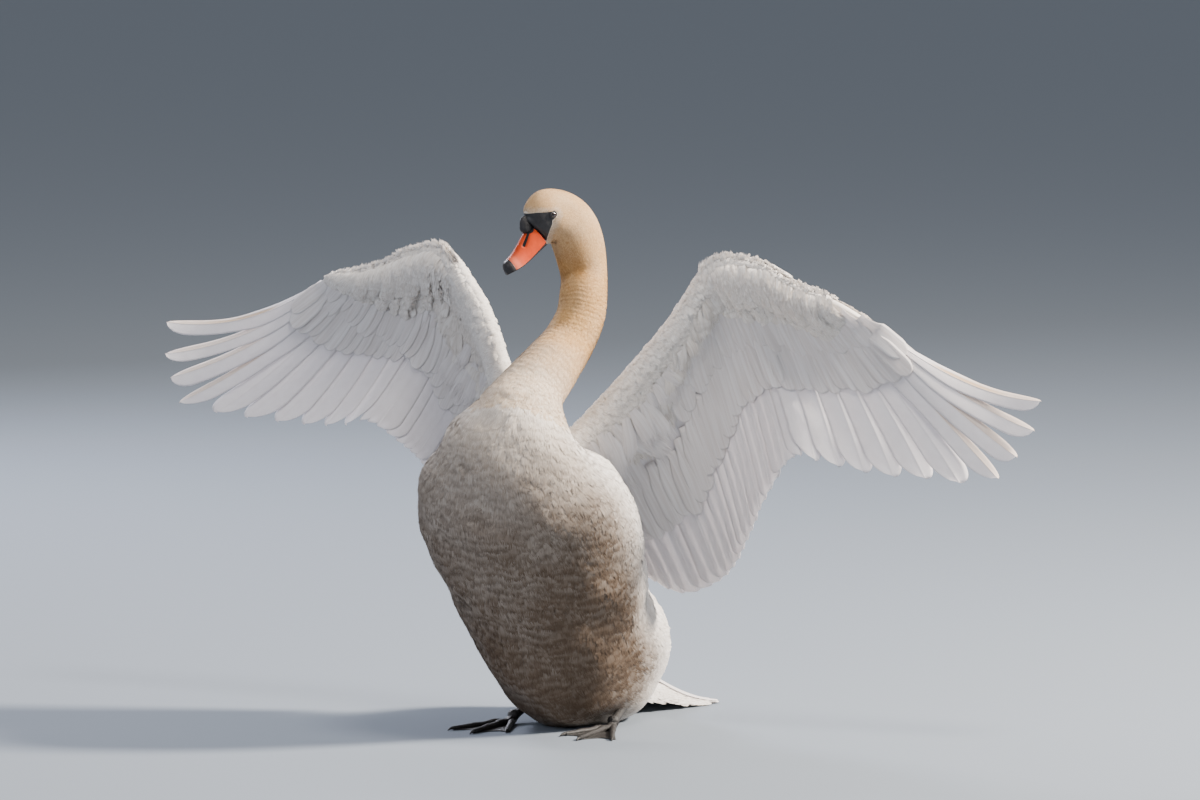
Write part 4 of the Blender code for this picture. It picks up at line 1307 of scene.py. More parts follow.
def mark_flight_feathers(piece, rank, t, x, across, along):
    """Maps and stains: a faint olive-tan tone on the free leading vanes, partly their own tan and partly
    painted shade where the next feather covers them, a straw stripe down the outermost primary and darker
    shafts. A feather's upper face and its under face look alike."""
    count = len(rank)

    def both(upper, under=None):
        return np.stack([upper, upper if under is None else under], axis=1)

    set_map(piece, "vane", both(np.stack([across, along], axis=-1)).reshape(-1, 2))
    u = ((np.arange(count) + 0.5)[:, None, None] + 0.46 * x) / count + 0 * along
    place = np.stack([u, 0.01 + 0.48 * t[None, :, None] + 0 * along], axis=-1)
    set_map(piece, "OFBake", both(place, place + [0.0, 0.5]).reshape(-1, 2))
    outer = smooth(6.2, 7.0, rank)[:, None, None] * smooth(0.35, 0.6, t)[None, :, None]
    # Painted shade with the vanes' own tan: olive-tan on the leading vanes that the next feather covers.
    olive_tan_and_shade = 0.34 * outer * smooth(-0.05, 0.06, x)
    last = (rank == PRIMARIES)[:, None, None]
    stripe = np.where(last, smooth(0.0, 0.08, x) - smooth(0.45, 0.7, x), 0)
    stripe = stripe * 0.75 * (smooth(0.25, 0.4, t) * (1 - 0.7 * smooth(0.6, 0.9, t)))[None, :, None]
    set_value(piece, "stain", both(np.maximum(olive_tan_and_shade, stripe)))
    set_value(piece, "shaft", both((0.45 * outer + 0.05) * (x == 0)))


# Places across a flight feather, from its trailing to its leading edge, crowded at the shaft.
VANE_COLUMNS = np.array([-1.0, -0.84, -0.62, -0.38, -0.16, -0.03, 0.0, 0.06, 0.36, 0.72, 1.0])
FLIGHT_LAP = (0.0016, 0.0030)  # height of the edges over the shaft, on the arm and on the hand
FLIGHT_CAMBER = 0.0016
FLIGHT_WOBBLE = 0.0010
SHAFT_HALF, VANE_HALF = 0.0008, 0.00026  # half-thicknesses


def flight_feathers(side):
    """Primaries, secondaries and tertials of one wing in one mesh. A feather's middle line keeps
    its span. Its leading vane lies to the upper side and its trailing vane to the under side, so
    that each laps its neighbour. The shaft is a ridge that stands out from both faces."""
    span, pitch, rank = flight_places()
    rows, x = 34, VANE_COLUMNS
    t = 1 - (1 - np.linspace(0, 1, rows)) ** 1.4
    count, columns = len(span), len(x)
    start = arm_share(side, span) * 0.45
    chord = start[:, None] + (1 - start)[:, None] * t[None, :]
    s_row = np.repeat(span[:, None], rows, axis=1)
    small = 1e-3
    there = wing_place(side, s_row + small, chord) - wing_place(side, s_row - small, chord)
    per_span = np.linalg.norm(there, axis=-1) / (2 * small)
    lead, trail = vane_widths(pitch[:, None] * per_span, rank, t)
    across = np.where(x > 0, lead[..., None] * x, trail[..., None] * x)
    spans = s_row[..., None] + across / per_span[..., None]
    chords = np.repeat(chord[..., None], columns, axis=2)
    place = wing_place(side, spans, chords)
    normal = -wing_normal(side, spans, chords)
    lap = np.where(rank == 0, *FLIGHT_LAP)[:, None, None]
    tilt = -lap * x * (0.35 + 0.65 * smooth(0.0, 0.3, t))[None, :, None]
    camber = -FLIGHT_CAMBER * np.abs(x) ** 1.6
    wobble = FLIGHT_WOBBLE * np.sin(3.1 * t + rng.uniform(0, 6, (count, 1)))[..., None] * t[None, :, None]
    middle = place + normal * (tilt + camber + wobble)[..., None]
    half = np.where(x == 0, SHAFT_HALF, VANE_HALF) * (1 - 0.6 * t)[:, None] * np.ones((count, 1, 1))
    body = normal * half[..., None]
    points = np.stack([middle + body, middle - body], axis=1)
    first = (np.arange(count) * 2 * rows * columns)[:, None, None]
    faces = (sheet_faces(rows, columns)[None] + first).reshape(-1, 4)
    name = f"wing_{side}_flight_feathers"
    piece = closed_piece(name, points.reshape(-1, 3), faces, MATERIALS["flight"])
    length = ray_length(side, span) * (1 - start)
    along = length[:, None, None] * t[None, :, None] * np.ones(columns)
    mark_flight_feathers(piece, rank, t, x, across, along)
    nodes = [f"wing_{side}_tertials", f"wing_{side}_secondaries"]
    nodes += [f"wing_{side}_primary_{n:02d}" for n in range(1, PRIMARIES + 1)]
    return finished(piece, "plumage", *nodes)


# Rows of coverts: face (-1 under, 1 upper), first and last span, how many, length, tips' chord by
# span on the left and the right wing, height at the root, middle and tip, unevenness, roundness.
COVERT_ROWS = (
    (-1, (0.05, 1.94), 34, 0.120, (
        ((0.0, 0.70), (0.38, 0.68), (0.58, 0.62), (0.76, 0.60), (1.02, 0.68), (1.2, 0.64),
         (1.44, 0.56), (1.61, 0.46), (1.78, 0.35), (1.95, 0.26)),
        ((0.0, 0.76), (0.74, 0.73), (0.85, 0.67), (1.05, 0.66), (1.13, 0.64), (1.28, 0.58),
         (1.42, 0.53), (1.63, 0.39), (1.79, 0.33), (1.95, 0.26)),
    ), (0.0014, 0.0024, 0.0005), 0.010, 0.24),
    (-1, (0.45, 1.75), 24, 0.085, (
        ((0.0, 0.44), (0.6, 0.34), (0.76, 0.31), (0.88, 0.41), (1.10, 0.47), (1.26, 0.44),
         (1.42, 0.36), (1.6, 0.26), (1.8, 0.18)),
        ((0.0, 0.60), (0.90, 0.66), (0.96, 0.66), (1.10, 0.57), (1.23, 0.50), (1.33, 0.42),
         (1.5, 0.30), (1.8, 0.16)),
    ), (0.0022, 0.0042, 0.0020), 0.020, 0.36),
    (1, (0.04, 1.95), 36, 0.130, (
        ((0.0, 0.62), (0.6, 0.60), (1.0, 0.62), (1.4, 0.52), (1.8, 0.40), (1.95, 0.32)),
    ), (0.0014, 0.0044, 0.0040), 0.006, 0.24),
    (1, (0.04, 1.88), 40, 0.095, (
        ((0.0, 0.46), (0.6, 0.44), (1.0, 0.44), (1.4, 0.35), (1.8, 0.24), (1.95, 0.2)),
    ), (0.0024, 0.0060, 0.0056), 0.010, 0.30),
    (1, (0.04, 1.80), 46, 0.065, (
        ((0.0, 0.36), (0.6, 0.34), (1.0, 0.32), (1.4, 0.25), (1.8, 0.17), (1.95, 0.14)),
    ), (0.0030, 0.0074, 0.0070), 0.012, 0.36),
)

# Lower border of the ruffled mass under the wrist and hand, and of the soft strip on the forearm.
RUFFLE = {
    "left": ((0.76, 0.10), (0.86, 0.20), (0.98, 0.28), (1.09, 0.28), (1.24, 0.26), (1.42, 0.25),
             (1.54, 0.17), (1.66, 0.07)),
    "right": ((0.80, 0.10), (0.92, 0.26), (1.02, 0.34), (1.10, 0.34), (1.24, 0.29), (1.36, 0.22),
              (1.55, 0.13), (1.67, 0.09), (1.92, 0.04)),
}
LOBES = 12
STRIP = {
    "left": ((0.02, 0.36), (0.38, 0.27), (0.46, 0.22), (0.60, 0.19), (0.76, 0.17), (1.0, 0.20)),
    "right": ((0.02, 0.50), (0.50, 0.48), (0.74, 0.46), (0.90, 0.36), (1.05, 0.25)),
}


def even_spans(side, tips, first, last, count):
    """Spans of a row whose feathers stand at even distances along the line of their tips, and the
    distance between them."""
    fine = np.linspace(first, last, 400)
    line = wing_place(side, fine, lookup(tips, fine))
    run = np.concatenate([[0], np.cumsum(np.linalg.norm(np.diff(line, axis=0), axis=1))])
    return np.interp((np.arange(count) + 0.5) / count * run[-1], run, fine), run[-1] / count


WING_BOX = (-0.05, 2.05, -0.1, 1.0)  # spans and chords that the unwrap of a wing covers


def wing_layer(ground, root, tip, width, heights, shape, fleck, unwrapped=None, **more):
    """One layer of a wing's coat, at its roots' places on the unwrap unless others are given."""
    laid = lay(ground, root, tip, width, heights, shape, **more)
    return coat_layer(laid, unwrapped or root, WING_BOX, stain=0.05, fleck=fleck)


def scattered(chance, first, last, count):
    """Even steps from first to last, each at a random place within its step."""
    return first + (last - first) * (np.arange(count) + chance.random(count)) / count


def spread(chance, first, last, count):
    """Places of many roots along one number, scattered, and shares across the other, by steps of the
    golden ratio, each a little off at random."""
    along = scattered(chance, first, last, count)
    return along, (np.arange(count) * GOLDEN + chance.uniform(-0.1, 0.1, count)) % 1.0


def wing_chance(side, seed):
    """A wing's own random numbers."""
    return np.random.default_rng(seed + (side == "right"))


def covert_row(side, row):
    """One row of coverts: even steps, tips on the row's chord line, roots a feather's length nearer
    to the leading edge. Each laps its neighbour towards the body on the under side."""
    face, (first, last), count, length, tables, heights, loose, blunt = row
    tips = tables[-1 if side == "right" else 0]
    span, pitch = even_spans(side, tips, first, last, count)
    reach = length * (1 - 0.30 * smooth(1.4, 2.0, span)) / ray_length(side, span)
    tip_chord = lookup(tips, span) + rng.normal(0, loose, count)
    root_chord = np.maximum(tip_chord - reach, 0.01)
    tip_span = span + rng.normal(0, loose * 0.4, count)
    lap = 0.0011 * face * (1 if (side == "left") == (face == -1) else -1)
    width = 1.75 * pitch * rng.uniform(0.92, 1.10, count)
    low, middle, high = (np.full(count, h) for h in heights)
    high = high + np.abs(rng.normal(0, loose * 0.03, count))
    return wing_layer(
        wing_ground(side, face), (span, root_chord), (tip_span, tip_chord), width,
        (low, middle, high), vane_shape(14, 9, blunt), rng.uniform(0.05, 0.35, count),
        cup=0.05, thick=0.0004, tilt=lap, sway=rng.normal(0, 0.08, count),
    )


def ruffle_border(side, span):
    """Lower border of the ruffled mass, broken into rounded lobes of uneven length, as a chord. With
    it the way across the lobe, from -0.5 to 0.5, and the fullness, 0 in a notch and 1 in the middle."""
    sizes = wing_chance(side, 41).uniform(0.6, 1.3, LOBES)
    ends = RUFFLE[side][0][0], RUFFLE[side][-1][0]
    middles, _ = even_spans(side, RUFFLE[side], *ends, LOBES)
    step = np.interp(span, middles, np.arange(LOBES) + 0.5)
    own = sizes[np.clip(step.astype(int), 0, LOBES - 1)]
    full = np.abs(np.sin(math.pi * step)) ** 0.6
    return lookup(RUFFLE[side], span) * (0.84 + 0.33 * own * full), step % 1.0 - 0.5, full * own


PILLOW_HEIGHT = 0.026


def pillow_ground(side):
    """Ground of the ruffled mass: the under side raised by a power of a parabola between the leading
    edge and the mass's lower border, with hollows between the lobes."""
    flat = wing_ground(side, -1)

    def ground(span, chord):
        place, normal, along_span, along_chord = flat(span, chord)
        border, _, full = ruffle_border(side, span)
        share = np.clip(chord / border * 2 - 1, -1, 1)
        tall = PILLOW_HEIGHT * np.clip(border / 0.26, 0.1, 1) * (1 - share**2) ** 0.85
        tall = tall * (1 - 0.60 * smooth(-0.6, 0.4, share) * (1 - np.clip(full, 0, 1) ** 1.8))
        tall = tall * smooth(0.80, 1.02, span)
        return place + normal * tall[..., None], normal, along_span, along_chord

    return ground


RUFFLE_TUFTS, SPIKES = 3400, 420
LOBE_ROWS = ((0.075, 1.17, 0.0035, 17), (0.070, 1.09, 0.0060, 15))  # length, reach, height, number


def lobe_tufts(side, chance, first, last):
    """Fine tufts over the pillow, which turn away from the middle of their lobe."""
    count = RUFFLE_TUFTS
    span, part = spread(chance, first, last, count)
    border, across, _ = ruffle_border(side, span)
    root = border * (0.02 + 0.90 * part)
    reach = 0.022 * chance.uniform(0.7, 1.2, count) / ray_length(side, span)
    turn = chance.normal(0, 0.18, count) + 0.25 * clumps(wing_place(side, span, root) * 1.4)
    turn = turn + 2.0 * across * part**2
    tip = np.minimum(root + reach * np.cos(turn), border * 1.01)
    high = 0.0012 + chance.normal(0, 0.0004, count)
    return wing_layer(
        pillow_ground(side), (span, root), (span + 0.06 * np.sin(turn), tip),
        0.0135 * chance.uniform(0.8, 1.3, count), (high - 0.005, high - 0.001, high), tuft_shape(5),
        chance.uniform(0, 0.2, count), sway=chance.normal(0, 0.25, count), cup=0.10, ragged=0.16,
    )


def lobe_vanes(side, chance, first, last, row):
    """A row of rounded vanes that reach out from under the pillow's border."""
    back, reach, rise, count = row
    span, pitch = even_spans(side, RUFFLE[side], first + 0.04, last - 0.02, count)
    span = span + chance.normal(0, 0.01, count)
    border = lookup(RUFFLE[side], span)
    tip = border * reach * chance.uniform(0.94, 1.08, count)
    root = np.maximum(tip - back * np.clip(border / 0.2, 0.4, 1), 0.01)
    high = rise * chance.uniform(0.8, 1.2, count)
    return wing_layer(
        wing_ground(side, -1), (span, root), (span + chance.normal(0, 0.015, count), tip),
        1.7 * pitch * chance.uniform(0.85, 1.15, count), (high * 0.6, high * 1.3, high * 0.5),
        vane_shape(12, 9, 0.62), chance.uniform(0.0, 0.2, count),
        cup=chance.uniform(0.06, 0.14, count), thick=0.0005, sway=chance.normal(0, 0.12, count),
    )


def edge_spikes(side, chance, first, last, face):
    """Narrow tufts that stick out past the leading edge."""
    count = SPIKES
    span = scattered(chance, first, last + 0.02, count)
    root = chance.uniform(0.0, 0.03, count)
    reach = 0.016 * chance.uniform(0.4, 1.2, count) / ray_length(side, span)
    high = chance.uniform(0.0, 0.005, count)
    return wing_layer(
        wing_ground(side, face), (span, root),
        (span + chance.uniform(0.01, 0.06, count), root - reach),
        0.006 * chance.uniform(0.6, 1.2, count), (high * 0 + 0.002, high + 0.002, high),
        tuft_shape(3), chance.uniform(0, 0.1, count), ragged=0.2,
    )


def ruffle(side):
    """The mass of loose feathers under the wrist and hand: fine tufts over a pillow whose lower
    border hangs in rounded lobes, rounded vanes from under it, and spikes past the leading edge."""
    chance = wing_chance(side, 21)
    ends = RUFFLE[side][0][0] + 0.04, RUFFLE[side][-1][0] - 0.03
    layers = [lobe_tufts(side, chance, *ends)]
    layers += [lobe_vanes(side, chance, *ends, row) for row in LOBE_ROWS]
    return layers + [edge_spikes(side, chance, *ends, face) for face in (-1, 1)]


STRIP_TUFTS, NOSE_TUFTS = 3000, 2000
STRIP_ROWS = (  # reach, length, height and number of the loose coverts along the strip's border
    (1.30, 0.050, 0.002, 34),
    (1.14, 0.044, 0.004, 36),
    (1.0, 0.036, 0.006, 40),
)


def strip_tufts(side, chance):
    """Fine tufts of the strip, flat on its outer half and in ruffled rows across the inner half."""
    count = STRIP_TUFTS
    span, part = spread(chance, 0.03, 1.0, count)
    root = lookup(STRIP[side], span) * part**1.7 * 0.95
    inner = smooth(0.45, 0.75, part)
    reach = (0.014 + 0.008 * inner) * chance.uniform(0.8, 1.2, count) / ray_length(side, span)
    line = wing_place(side, span, root)
    rows = np.sin(2 * math.pi * (line[:, 2] + 0.006 * drift(line)) / 0.016 + clumps(line))
    high = 0.001 + 0.0028 * inner * rows + chance.normal(0, 0.0005, count)
    return wing_layer(
        wing_ground(side, -1), (span, root), (span + chance.normal(0.01, 0.02, count), root + reach),
        (0.007 + 0.004 * inner) * chance.uniform(0.8, 1.2, count), (high - 0.005, high - 0.001, high),
        tuft_shape(4), 0.08 + 0.35 * inner, sway=chance.normal(0, 0.3, count), cup=0.12, ragged=0.16,
    )


def strip_coverts(side, chance, row):
    """A row of small loose coverts along the strip's border."""
    shift, long, rise, count = row
    span, _ = even_spans(side, STRIP[side], 0.30, 0.98, count)
    tip = lookup(STRIP[side], span) * shift + chance.normal(0, 0.010, count)
    root = tip - long / ray_length(side, span)
    high = rise * chance.uniform(0.5, 1.3, count)
    return wing_layer(
        wing_ground(side, -1), (span, root), (span + chance.normal(0, 0.02, count), tip),
        0.026 * chance.uniform(0.8, 1.2, count), (high * 0.2, high * 1.2, high), tuft_shape(10),
        chance.uniform(0.1, 0.4, count), cup=0.18, ragged=0.08, sway=chance.normal(0, 0.2, count),
    )


def nose_tufts(side, chance, face):
    """Small tufts that lie round the arm's leading edge towards one side."""
    count = NOSE_TUFTS
    span = scattered(chance, 0.02, 1.32, count)
    root = face * chance.uniform(-0.45, 1.15, count)
    tip = root + face * (0.9 - 0.3 * np.clip(face * root, 0, 1))
    high = 0.0014 + np.abs(chance.normal(0, 0.0012, count))
    return wing_layer(
        nose_ground(side), (span, root), (span + chance.normal(0.01, 0.01, count), tip),
        0.010 * chance.uniform(0.8, 1.2, count), (high - 0.003, high, high), tuft_shape(3),
        chance.uniform(0, 0.2, count), unwrapped=(span, 0.02 + 0.02 * root), ragged=0.22,
    )


def strip(side):
    """The forearm's soft under side with its border, and the leading edge."""
    chance = wing_chance(side, 31)
    layers = [strip_tufts(side, chance)]
    layers += [strip_coverts(side, chance, row) for row in STRIP_ROWS]
    return layers + [nose_tufts(side, chance, face) for face in (-1, 1)]


# Loose long feathers in the armpit: span and chord of the root and of the tip, width and lift.
AXILLARIES = {
    "left": (
        (0.14, 0.06, 0.12, 0.30, 0.030, 0.016), (0.20, 0.08, 0.19, 0.30, 0.032, 0.022),
        (0.27, 0.10, 0.24, 0.30, 0.028, 0.020), (0.24, 0.16, 0.29, 0.40, 0.030, 0.012),
        (0.33, 0.12, 0.33, 0.36, 0.028, 0.016), (0.30, 0.20, 0.36, 0.45, 0.030, 0.010),
        (0.40, 0.10, 0.43, 0.26, 0.024, 0.012), (0.16, 0.16, 0.17, 0.42, 0.034, 0.012),
        (0.10, 0.12, 0.11, 0.40, 0.034, 0.012), (0.38, 0.18, 0.41, 0.38, 0.026, 0.007),
        (0.48, 0.10, 0.50, 0.24, 0.022, 0.008), (0.22, 0.24, 0.25, 0.50, 0.032, 0.006),
    ),
    "right": (
        (0.50, 0.30, 0.52, 0.57, 0.030, 0.012), (0.58, 0.34, 0.61, 0.64, 0.030, 0.014),
        (0.68, 0.30, 0.72, 0.53, 0.026, 0.012), (0.74, 0.40, 0.79, 0.66, 0.026, 0.010),
        (0.64, 0.42, 0.68, 0.68, 0.028, 0.008), (0.44, 0.36, 0.46, 0.64, 0.032, 0.008),
        (0.34, 0.24, 0.36, 0.54, 0.034, 0.012), (0.24, 0.16, 0.25, 0.50, 0.034, 0.012),
    ),
}


def axillaries(side):
    """The armpit's feathers, each with two shorter ones beside it, soft at their ends."""
    table = np.array(AXILLARIES[side])
    table = np.concatenate([table, table, table])
    count = len(table)
    table[:, [0, 2]] += rng.normal(0, 0.025, (count, 1))
    root_span, root, tip_span, tip, width, lift = table.T
    tip = root + (tip - root) * rng.uniform(0.72, 1.05, count)
    lift = lift * rng.uniform(0.4, 1.0, count)
    return wing_layer(
        wing_ground(side, -1), (root_span, root), (tip_span + rng.normal(0, 0.02, count), tip),
        width * rng.uniform(0.8, 1.15, count), (lift * 0.1, lift * 0.9, lift), tuft_shape(10),
        rng.uniform(0.05, 0.3, count), cup=0.25, ragged=0.07, sway=rng.normal(0, 0.25, count),
    )


SHOULDER_TUFTS = 1800
SHOULDER = ((0.0, 0.34), (0.8, 0.26), (1.2, 0.20), (2.0, 0.06))  # chord they reach to, by span


def shoulder_tufts(side):
    """Small contour feathers over the upper side of the arm."""
    chance, count = wing_chance(side, 41), SHOULDER_TUFTS
    span, part = spread(chance, 0.02, 1.90, count)
    root = lookup(SHOULDER, span) * part**1.5
    reach = 0.026 * chance.uniform(0.75, 1.2, count) / ray_length(side, span)
    high = 0.0015 + 0.001 * clumps(wing_place(side, span, root))
    return wing_layer(
        wing_ground(side, 1), (span, root), (span + chance.normal(0, 0.02, count), root + reach),
        0.012 * chance.uniform(0.8, 1.2, count), (high - 0.006, high - 0.001, high), tuft_shape(5),
        chance.uniform(0.0, 0.25, count), sway=chance.normal(0, 0.2, count), cup=0.12, ragged=0.14,
    )


def wing_coat(side):
    """All the small feathers of one wing, in four pieces."""
    under = [covert_row(side, row) for row in COVERT_ROWS if row[0] == -1] + [axillaries(side)]
    upper = [covert_row(side, row) for row in COVERT_ROWS if row[0] == 1]
    for name, layers, material in (
        ("under", under, "covert"),
        ("upper", upper, "covert"),
        ("ruffled", ruffle(side), "down"),
        ("marginal", strip(side) + [shoulder_tufts(side)], "down"),
    ):
        coat_piece(f"wing_{side}_{name}_coverts", layers, MATERIALS[material], "plumage")


# ---- tail


TAIL_BOX = (-1.1, 1.1, 0.0, 1.0)  # places that the unwrap of the tail covers
TAIL_ROWS = ((12, 1.0, 0.001), (11, 0.985, 0.0035))  # number of feathers, reach, height
TAIL_TUFTS = 1500


def make_tail():
    """Tail feathers in two staggered layers over the floor, and the downy coverts on their roots."""
    layers = []
    for count, reach, height in TAIL_ROWS:
        across = np.linspace(-0.9, 0.9, count)
        root, tip = np.full(count, 0.25), np.full(count, reach)
        heights = [np.full(count, h) for h in (0.0, height, height - 0.0025)]
        laid = lay(
            tail_ground, (across * 0.75, root), (across, tip), np.full(count, 0.030), heights,
            vane_shape(16, 9, 0.12), cup=0.08, thick=0.0006,
        )
        fleck = rng.uniform(0, 0.2, count)
        layers.append(coat_layer(laid, (across, root), TAIL_BOX, stain=0.08, fleck=fleck))
    piece = coat_piece("tail_feathers", layers, MATERIALS["covert"], "plumage")
    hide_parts("tail")
    count = TAIL_TUFTS
    along, part = spread(rng, 0.0, 0.72, count)
    across = -0.98 + 1.96 * part
    length = 0.034 * rng.uniform(0.8, 1.2, count)
    sunk = 0.020 * (1 - smooth(0.0, 0.32, along))
    low = -0.006 - sunk
    high = rng.uniform(0.0, 0.003, count) - 0.6 * sunk
    laid = lay(
        tail_ground, (across, along), (across * 1.02, along + length / TAIL_LENGTH),
        0.015 * rng.uniform(0.85, 1.2, count), (low, low * 0.3, high), tuft_shape(6),
        cup=0.1, ragged=0.14,
    )
    laid[0][..., 2] = np.maximum(laid[0][..., 2], 0.0008)
    fleck = rng.uniform(0, 0.35, count)
    down = coat_layer(laid, (across, along), TAIL_BOX, stain=0.03, fleck=fleck)
    coat_piece("tail_coverts", [down], MATERIALS["down"], "plumage")


# ---- bill and eyes


BILL_BASE = (  # outline of the black rim where the sheath meets the face, in millimetres
    (-20, -10), (-3.4, -2.1), (-3.2, 10), (-2.6, 22), (-0.5, 34.0), (0.8, 36), (-2, 44), (-20, 44),
)
NOSTRIL = np.array([[0.0085, 0.0325], [0.0345, 0.0170]])  # ends of its black slit, ahead and above
KNOB_RIM = 0.0094  # radius of the black round the knob
MOUTH_RIM = 0.0017  # height of the black along the cutting edge


def slanted(ahead, above):
    """Distance ahead of rings that lean forward as they rise, less so towards the tip."""
    return ahead + BILL_SLANT * (1 - ahead / BILL_LENGTH) * above


def column(*rows):
    """Rows of numbers stood up, so that they run down the rings."""
    return [row[:, None] for row in rows]


def nostril_slit(along, above):
    """Millimetres inside the black slit round the nostril, and how hollow it is there. The slit is
    a rounded stroke that widens forward."""
    start, run = NOSTRIL[0], NOSTRIL[1] - NOSTRIL[0]
    t = np.clip(((along - start[0]) * run[0] + (above - start[1]) * run[1]) / (run @ run), 0, 1)
    away = np.hypot(along - start[0] - t * run[0], above - start[1] - t * run[1])
    half = 0.0010 + 0.0013 * t
    return (half - away) * 1000, np.exp(-(away / (half * 1.1)) ** 2) * smooth(0.1, 0.5, t)


def make_sheath():
    """Upper sheath, orange with black edges, base, nostrils and tip."""
    rows, columns = 110, 64
    ahead = np.linspace(0.0, BILL_LENGTH - 0.005, rows)
    width, ridge, mouth, _ = column(*spline(BILL, ahead).T)
    ahead = ahead[:, None]
    turn = np.linspace(0, math.pi, columns)
    across = width * np.cos(turn)
    box = 0.8 - 0.34 * (1 - smooth(0.0, 0.045, ahead))
    above = mouth + (ridge - mouth) * np.sin(turn) ** box
    along = slanted(ahead, above)
    slit, hollow = nostril_slit(along, above)
    across = across - np.sign(across) * 0.0020 * hollow
    floor = head_place(
        slanted(ahead, mouth) + 0 * across, mouth - 0.0002 + 0 * across, width * np.cos(turn)[::-1]
    )
    ring = np.concatenate([head_place(along, above, across), floor[:, 1:-1]], axis=1)
    points, faces = capped(ring)
    sheath = closed_piece("bill_upper_sheath", points, faces, MATERIALS["bill"])
    a, h, s = in_head(points)
    over_mouth = h - lookup(BILL, a, 4)
    nail_line = BILL_LENGTH - NAIL_LENGTH + 0.0025 * (np.abs(s) / 0.012) ** 2
    nostril = np.full(len(points), -5.0)
    nostril[: ring.shape[0] * ring.shape[1]].reshape(rows, -1)[:, :columns] = slit
    set_value(sheath, "ink", np.maximum.reduce([
        (MOUTH_RIM - over_mouth) * 1000,
        (KNOB_RIM - np.hypot(a - KNOB[0], h - KNOB[1])) * 1000,
        inside_outline(BILL_BASE, a * 1000, h * 1000),
        nostril,
        (a - nail_line) * 1000,
    ]))
    pink = smooth(0.045, 0.072, a) * 0.8 + 0.5 * np.exp(-((over_mouth - 0.0025) / 0.002) ** 2)
    set_value(sheath, "pink", np.clip(pink, 0, 1))
    set_map(sheath, "bill", np.stack([a, np.arctan2(h, s) * 0.014], axis=-1))
    finished(sheath, "bill_orange", "bill_upper")


def make_nail():
    """The nail: a hooked black cap over the sheath's end, a little proud of it."""
    part = np.linspace(0, 1, 30)
    ahead = BILL_LENGTH - NAIL_LENGTH * (1 - part) ** 1.3
    proud = 0.0007 * smooth(0.0, 0.25, part) + 0.0001
    width, ridge, mouth, _, ahead, proud, part = column(*spline(BILL, ahead).T, ahead, proud, part)
    turn = full_turn(48)
    sine = np.sin(turn)
    tall = np.where(sine > 0, ridge - mouth + proud, 0.0006 + 0.0016 * part)
    above = mouth + tall * np.sign(sine) * np.abs(sine) ** 0.8
    bow = 0.0022 * np.cos(turn) ** 2 * (1 - part)
    rings = head_place(slanted(ahead, above) + bow, above, (width + proud) * np.cos(turn))
    nail = closed_piece("bill_nail_shield", *capped(rings), MATERIALS["horn"])
    finished(nail, "black_skin", "bill_nail")


def make_lower_bill():
    """Lower bill: a shallow trough of black horn under the mouth line."""
    ahead = np.linspace(0.0, BILL_LENGTH - 0.003, 60)
    width, _, mouth, under, ahead = column(*spline(BILL, ahead).T, ahead)
    turn = full_turn(40)
    depth = np.where(np.sin(turn) > 0, (mouth - under) * np.abs(np.sin(turn)) ** 0.7, 0.0003)
    above = mouth - 0.0004 - depth
    rings = head_place(slanted(ahead, above), above, 0.93 * width * np.cos(turn))
    lower = closed_piece("bill_lower_horn", *capped(rings), MATERIALS["horn"])
    finished(lower, "black_skin", "bill_lower")


def ball_angles(first, last, rows, columns):
    """Angles of a ball's rings, from the pole and round it."""
    return np.meshgrid(np.linspace(first, last, rows), full_turn(columns), indexing="ij")


def make_knob():
    """Knob: a ball on the bill's base that stretches up to the forehead and bears low pimples."""
    tall, turn = ball_angles(0.02, math.pi - 0.02, 44, 56)
    ahead = np.sin(tall) * np.cos(turn)
    above = np.cos(tall)
    aside = np.sin(tall) * np.sin(turn)
    reach = np.clip(-0.50 * ahead + 0.87 * above, 0, 1)
    stretch = 1 + 1.05 * reach**3
    rough = 1 + 0.02 * np.sin(5 * turn) * np.sin(3 * tall) * np.sin(tall)
    wide, long, high = KNOB_SIZE
    points = head_place(
        KNOB[0] + long * stretch * rough * ahead,
        KNOB[1] + high * stretch * rough * above,
        wide * rough * aside,
    )
    knob = closed_piece("knob", *capped(points), MATERIALS["knob"])
    finished(knob, "black_skin", "bill_knob")


def make_eyes():
    """Eyes: balls with a low bulge where the clear front stands out."""
    pole = math.pi / 37
    tall, turn = ball_angles(pole, math.pi - pole, 36, 48)
    radius = EYE_RADIUS * (1 + 0.02 * np.exp(-((tall / 0.5) ** 2)))
    for side, name in SIDES:
        centre, axis = EYE_SEATS[side]
        wide, high = radius * np.sin(tall), radius * np.cos(tall)
        points, faces = capped(about(centre, axis, ring_frame(axis), wide, high, turn))
        eye = closed_piece(f"eyeball_{name}", points, faces, MATERIALS["eye"])
        away = points - centre
        off_axis = np.linalg.norm(away - (away @ axis)[:, None] * axis, axis=1) / EYE_RADIUS
        set_value(eye, "iris", np.where(away @ axis > 0, off_axis, 1.0))
        finished(eye, "eye", f"eye_{name}")


# ---- legs


FLAT = np.array([1.0, 1.0, 0.0])
CLAW_ROOT = 0.004  # how far the claw reaches into the toe
BALL = (  # pad under the foot's joint: along and above it, radius
    (0.009, 0.0, 0.004),
    (0.004, 0.001, 0.0095),
    (0.0, 0.001, 0.0105),
    (-0.006, -0.001, 0.005),
)


def tube(name, points, radii, around=16):
    """A closed piece of round rings along a line of points."""
    tangent = unit(np.gradient(points, axis=0))
    side = unit(np.cross(tangent, upwards()))
    up = np.cross(side, tangent)
    turn = full_turn(around)[None, :, None]
    ways = np.cos(turn) * side[:, None] + np.sin(turn) * up[:, None]
    rings = points[:, None] + np.asarray(radii)[:, None, None] * ways
    return closed_piece(name, *capped(rings), MATERIALS["foot"])


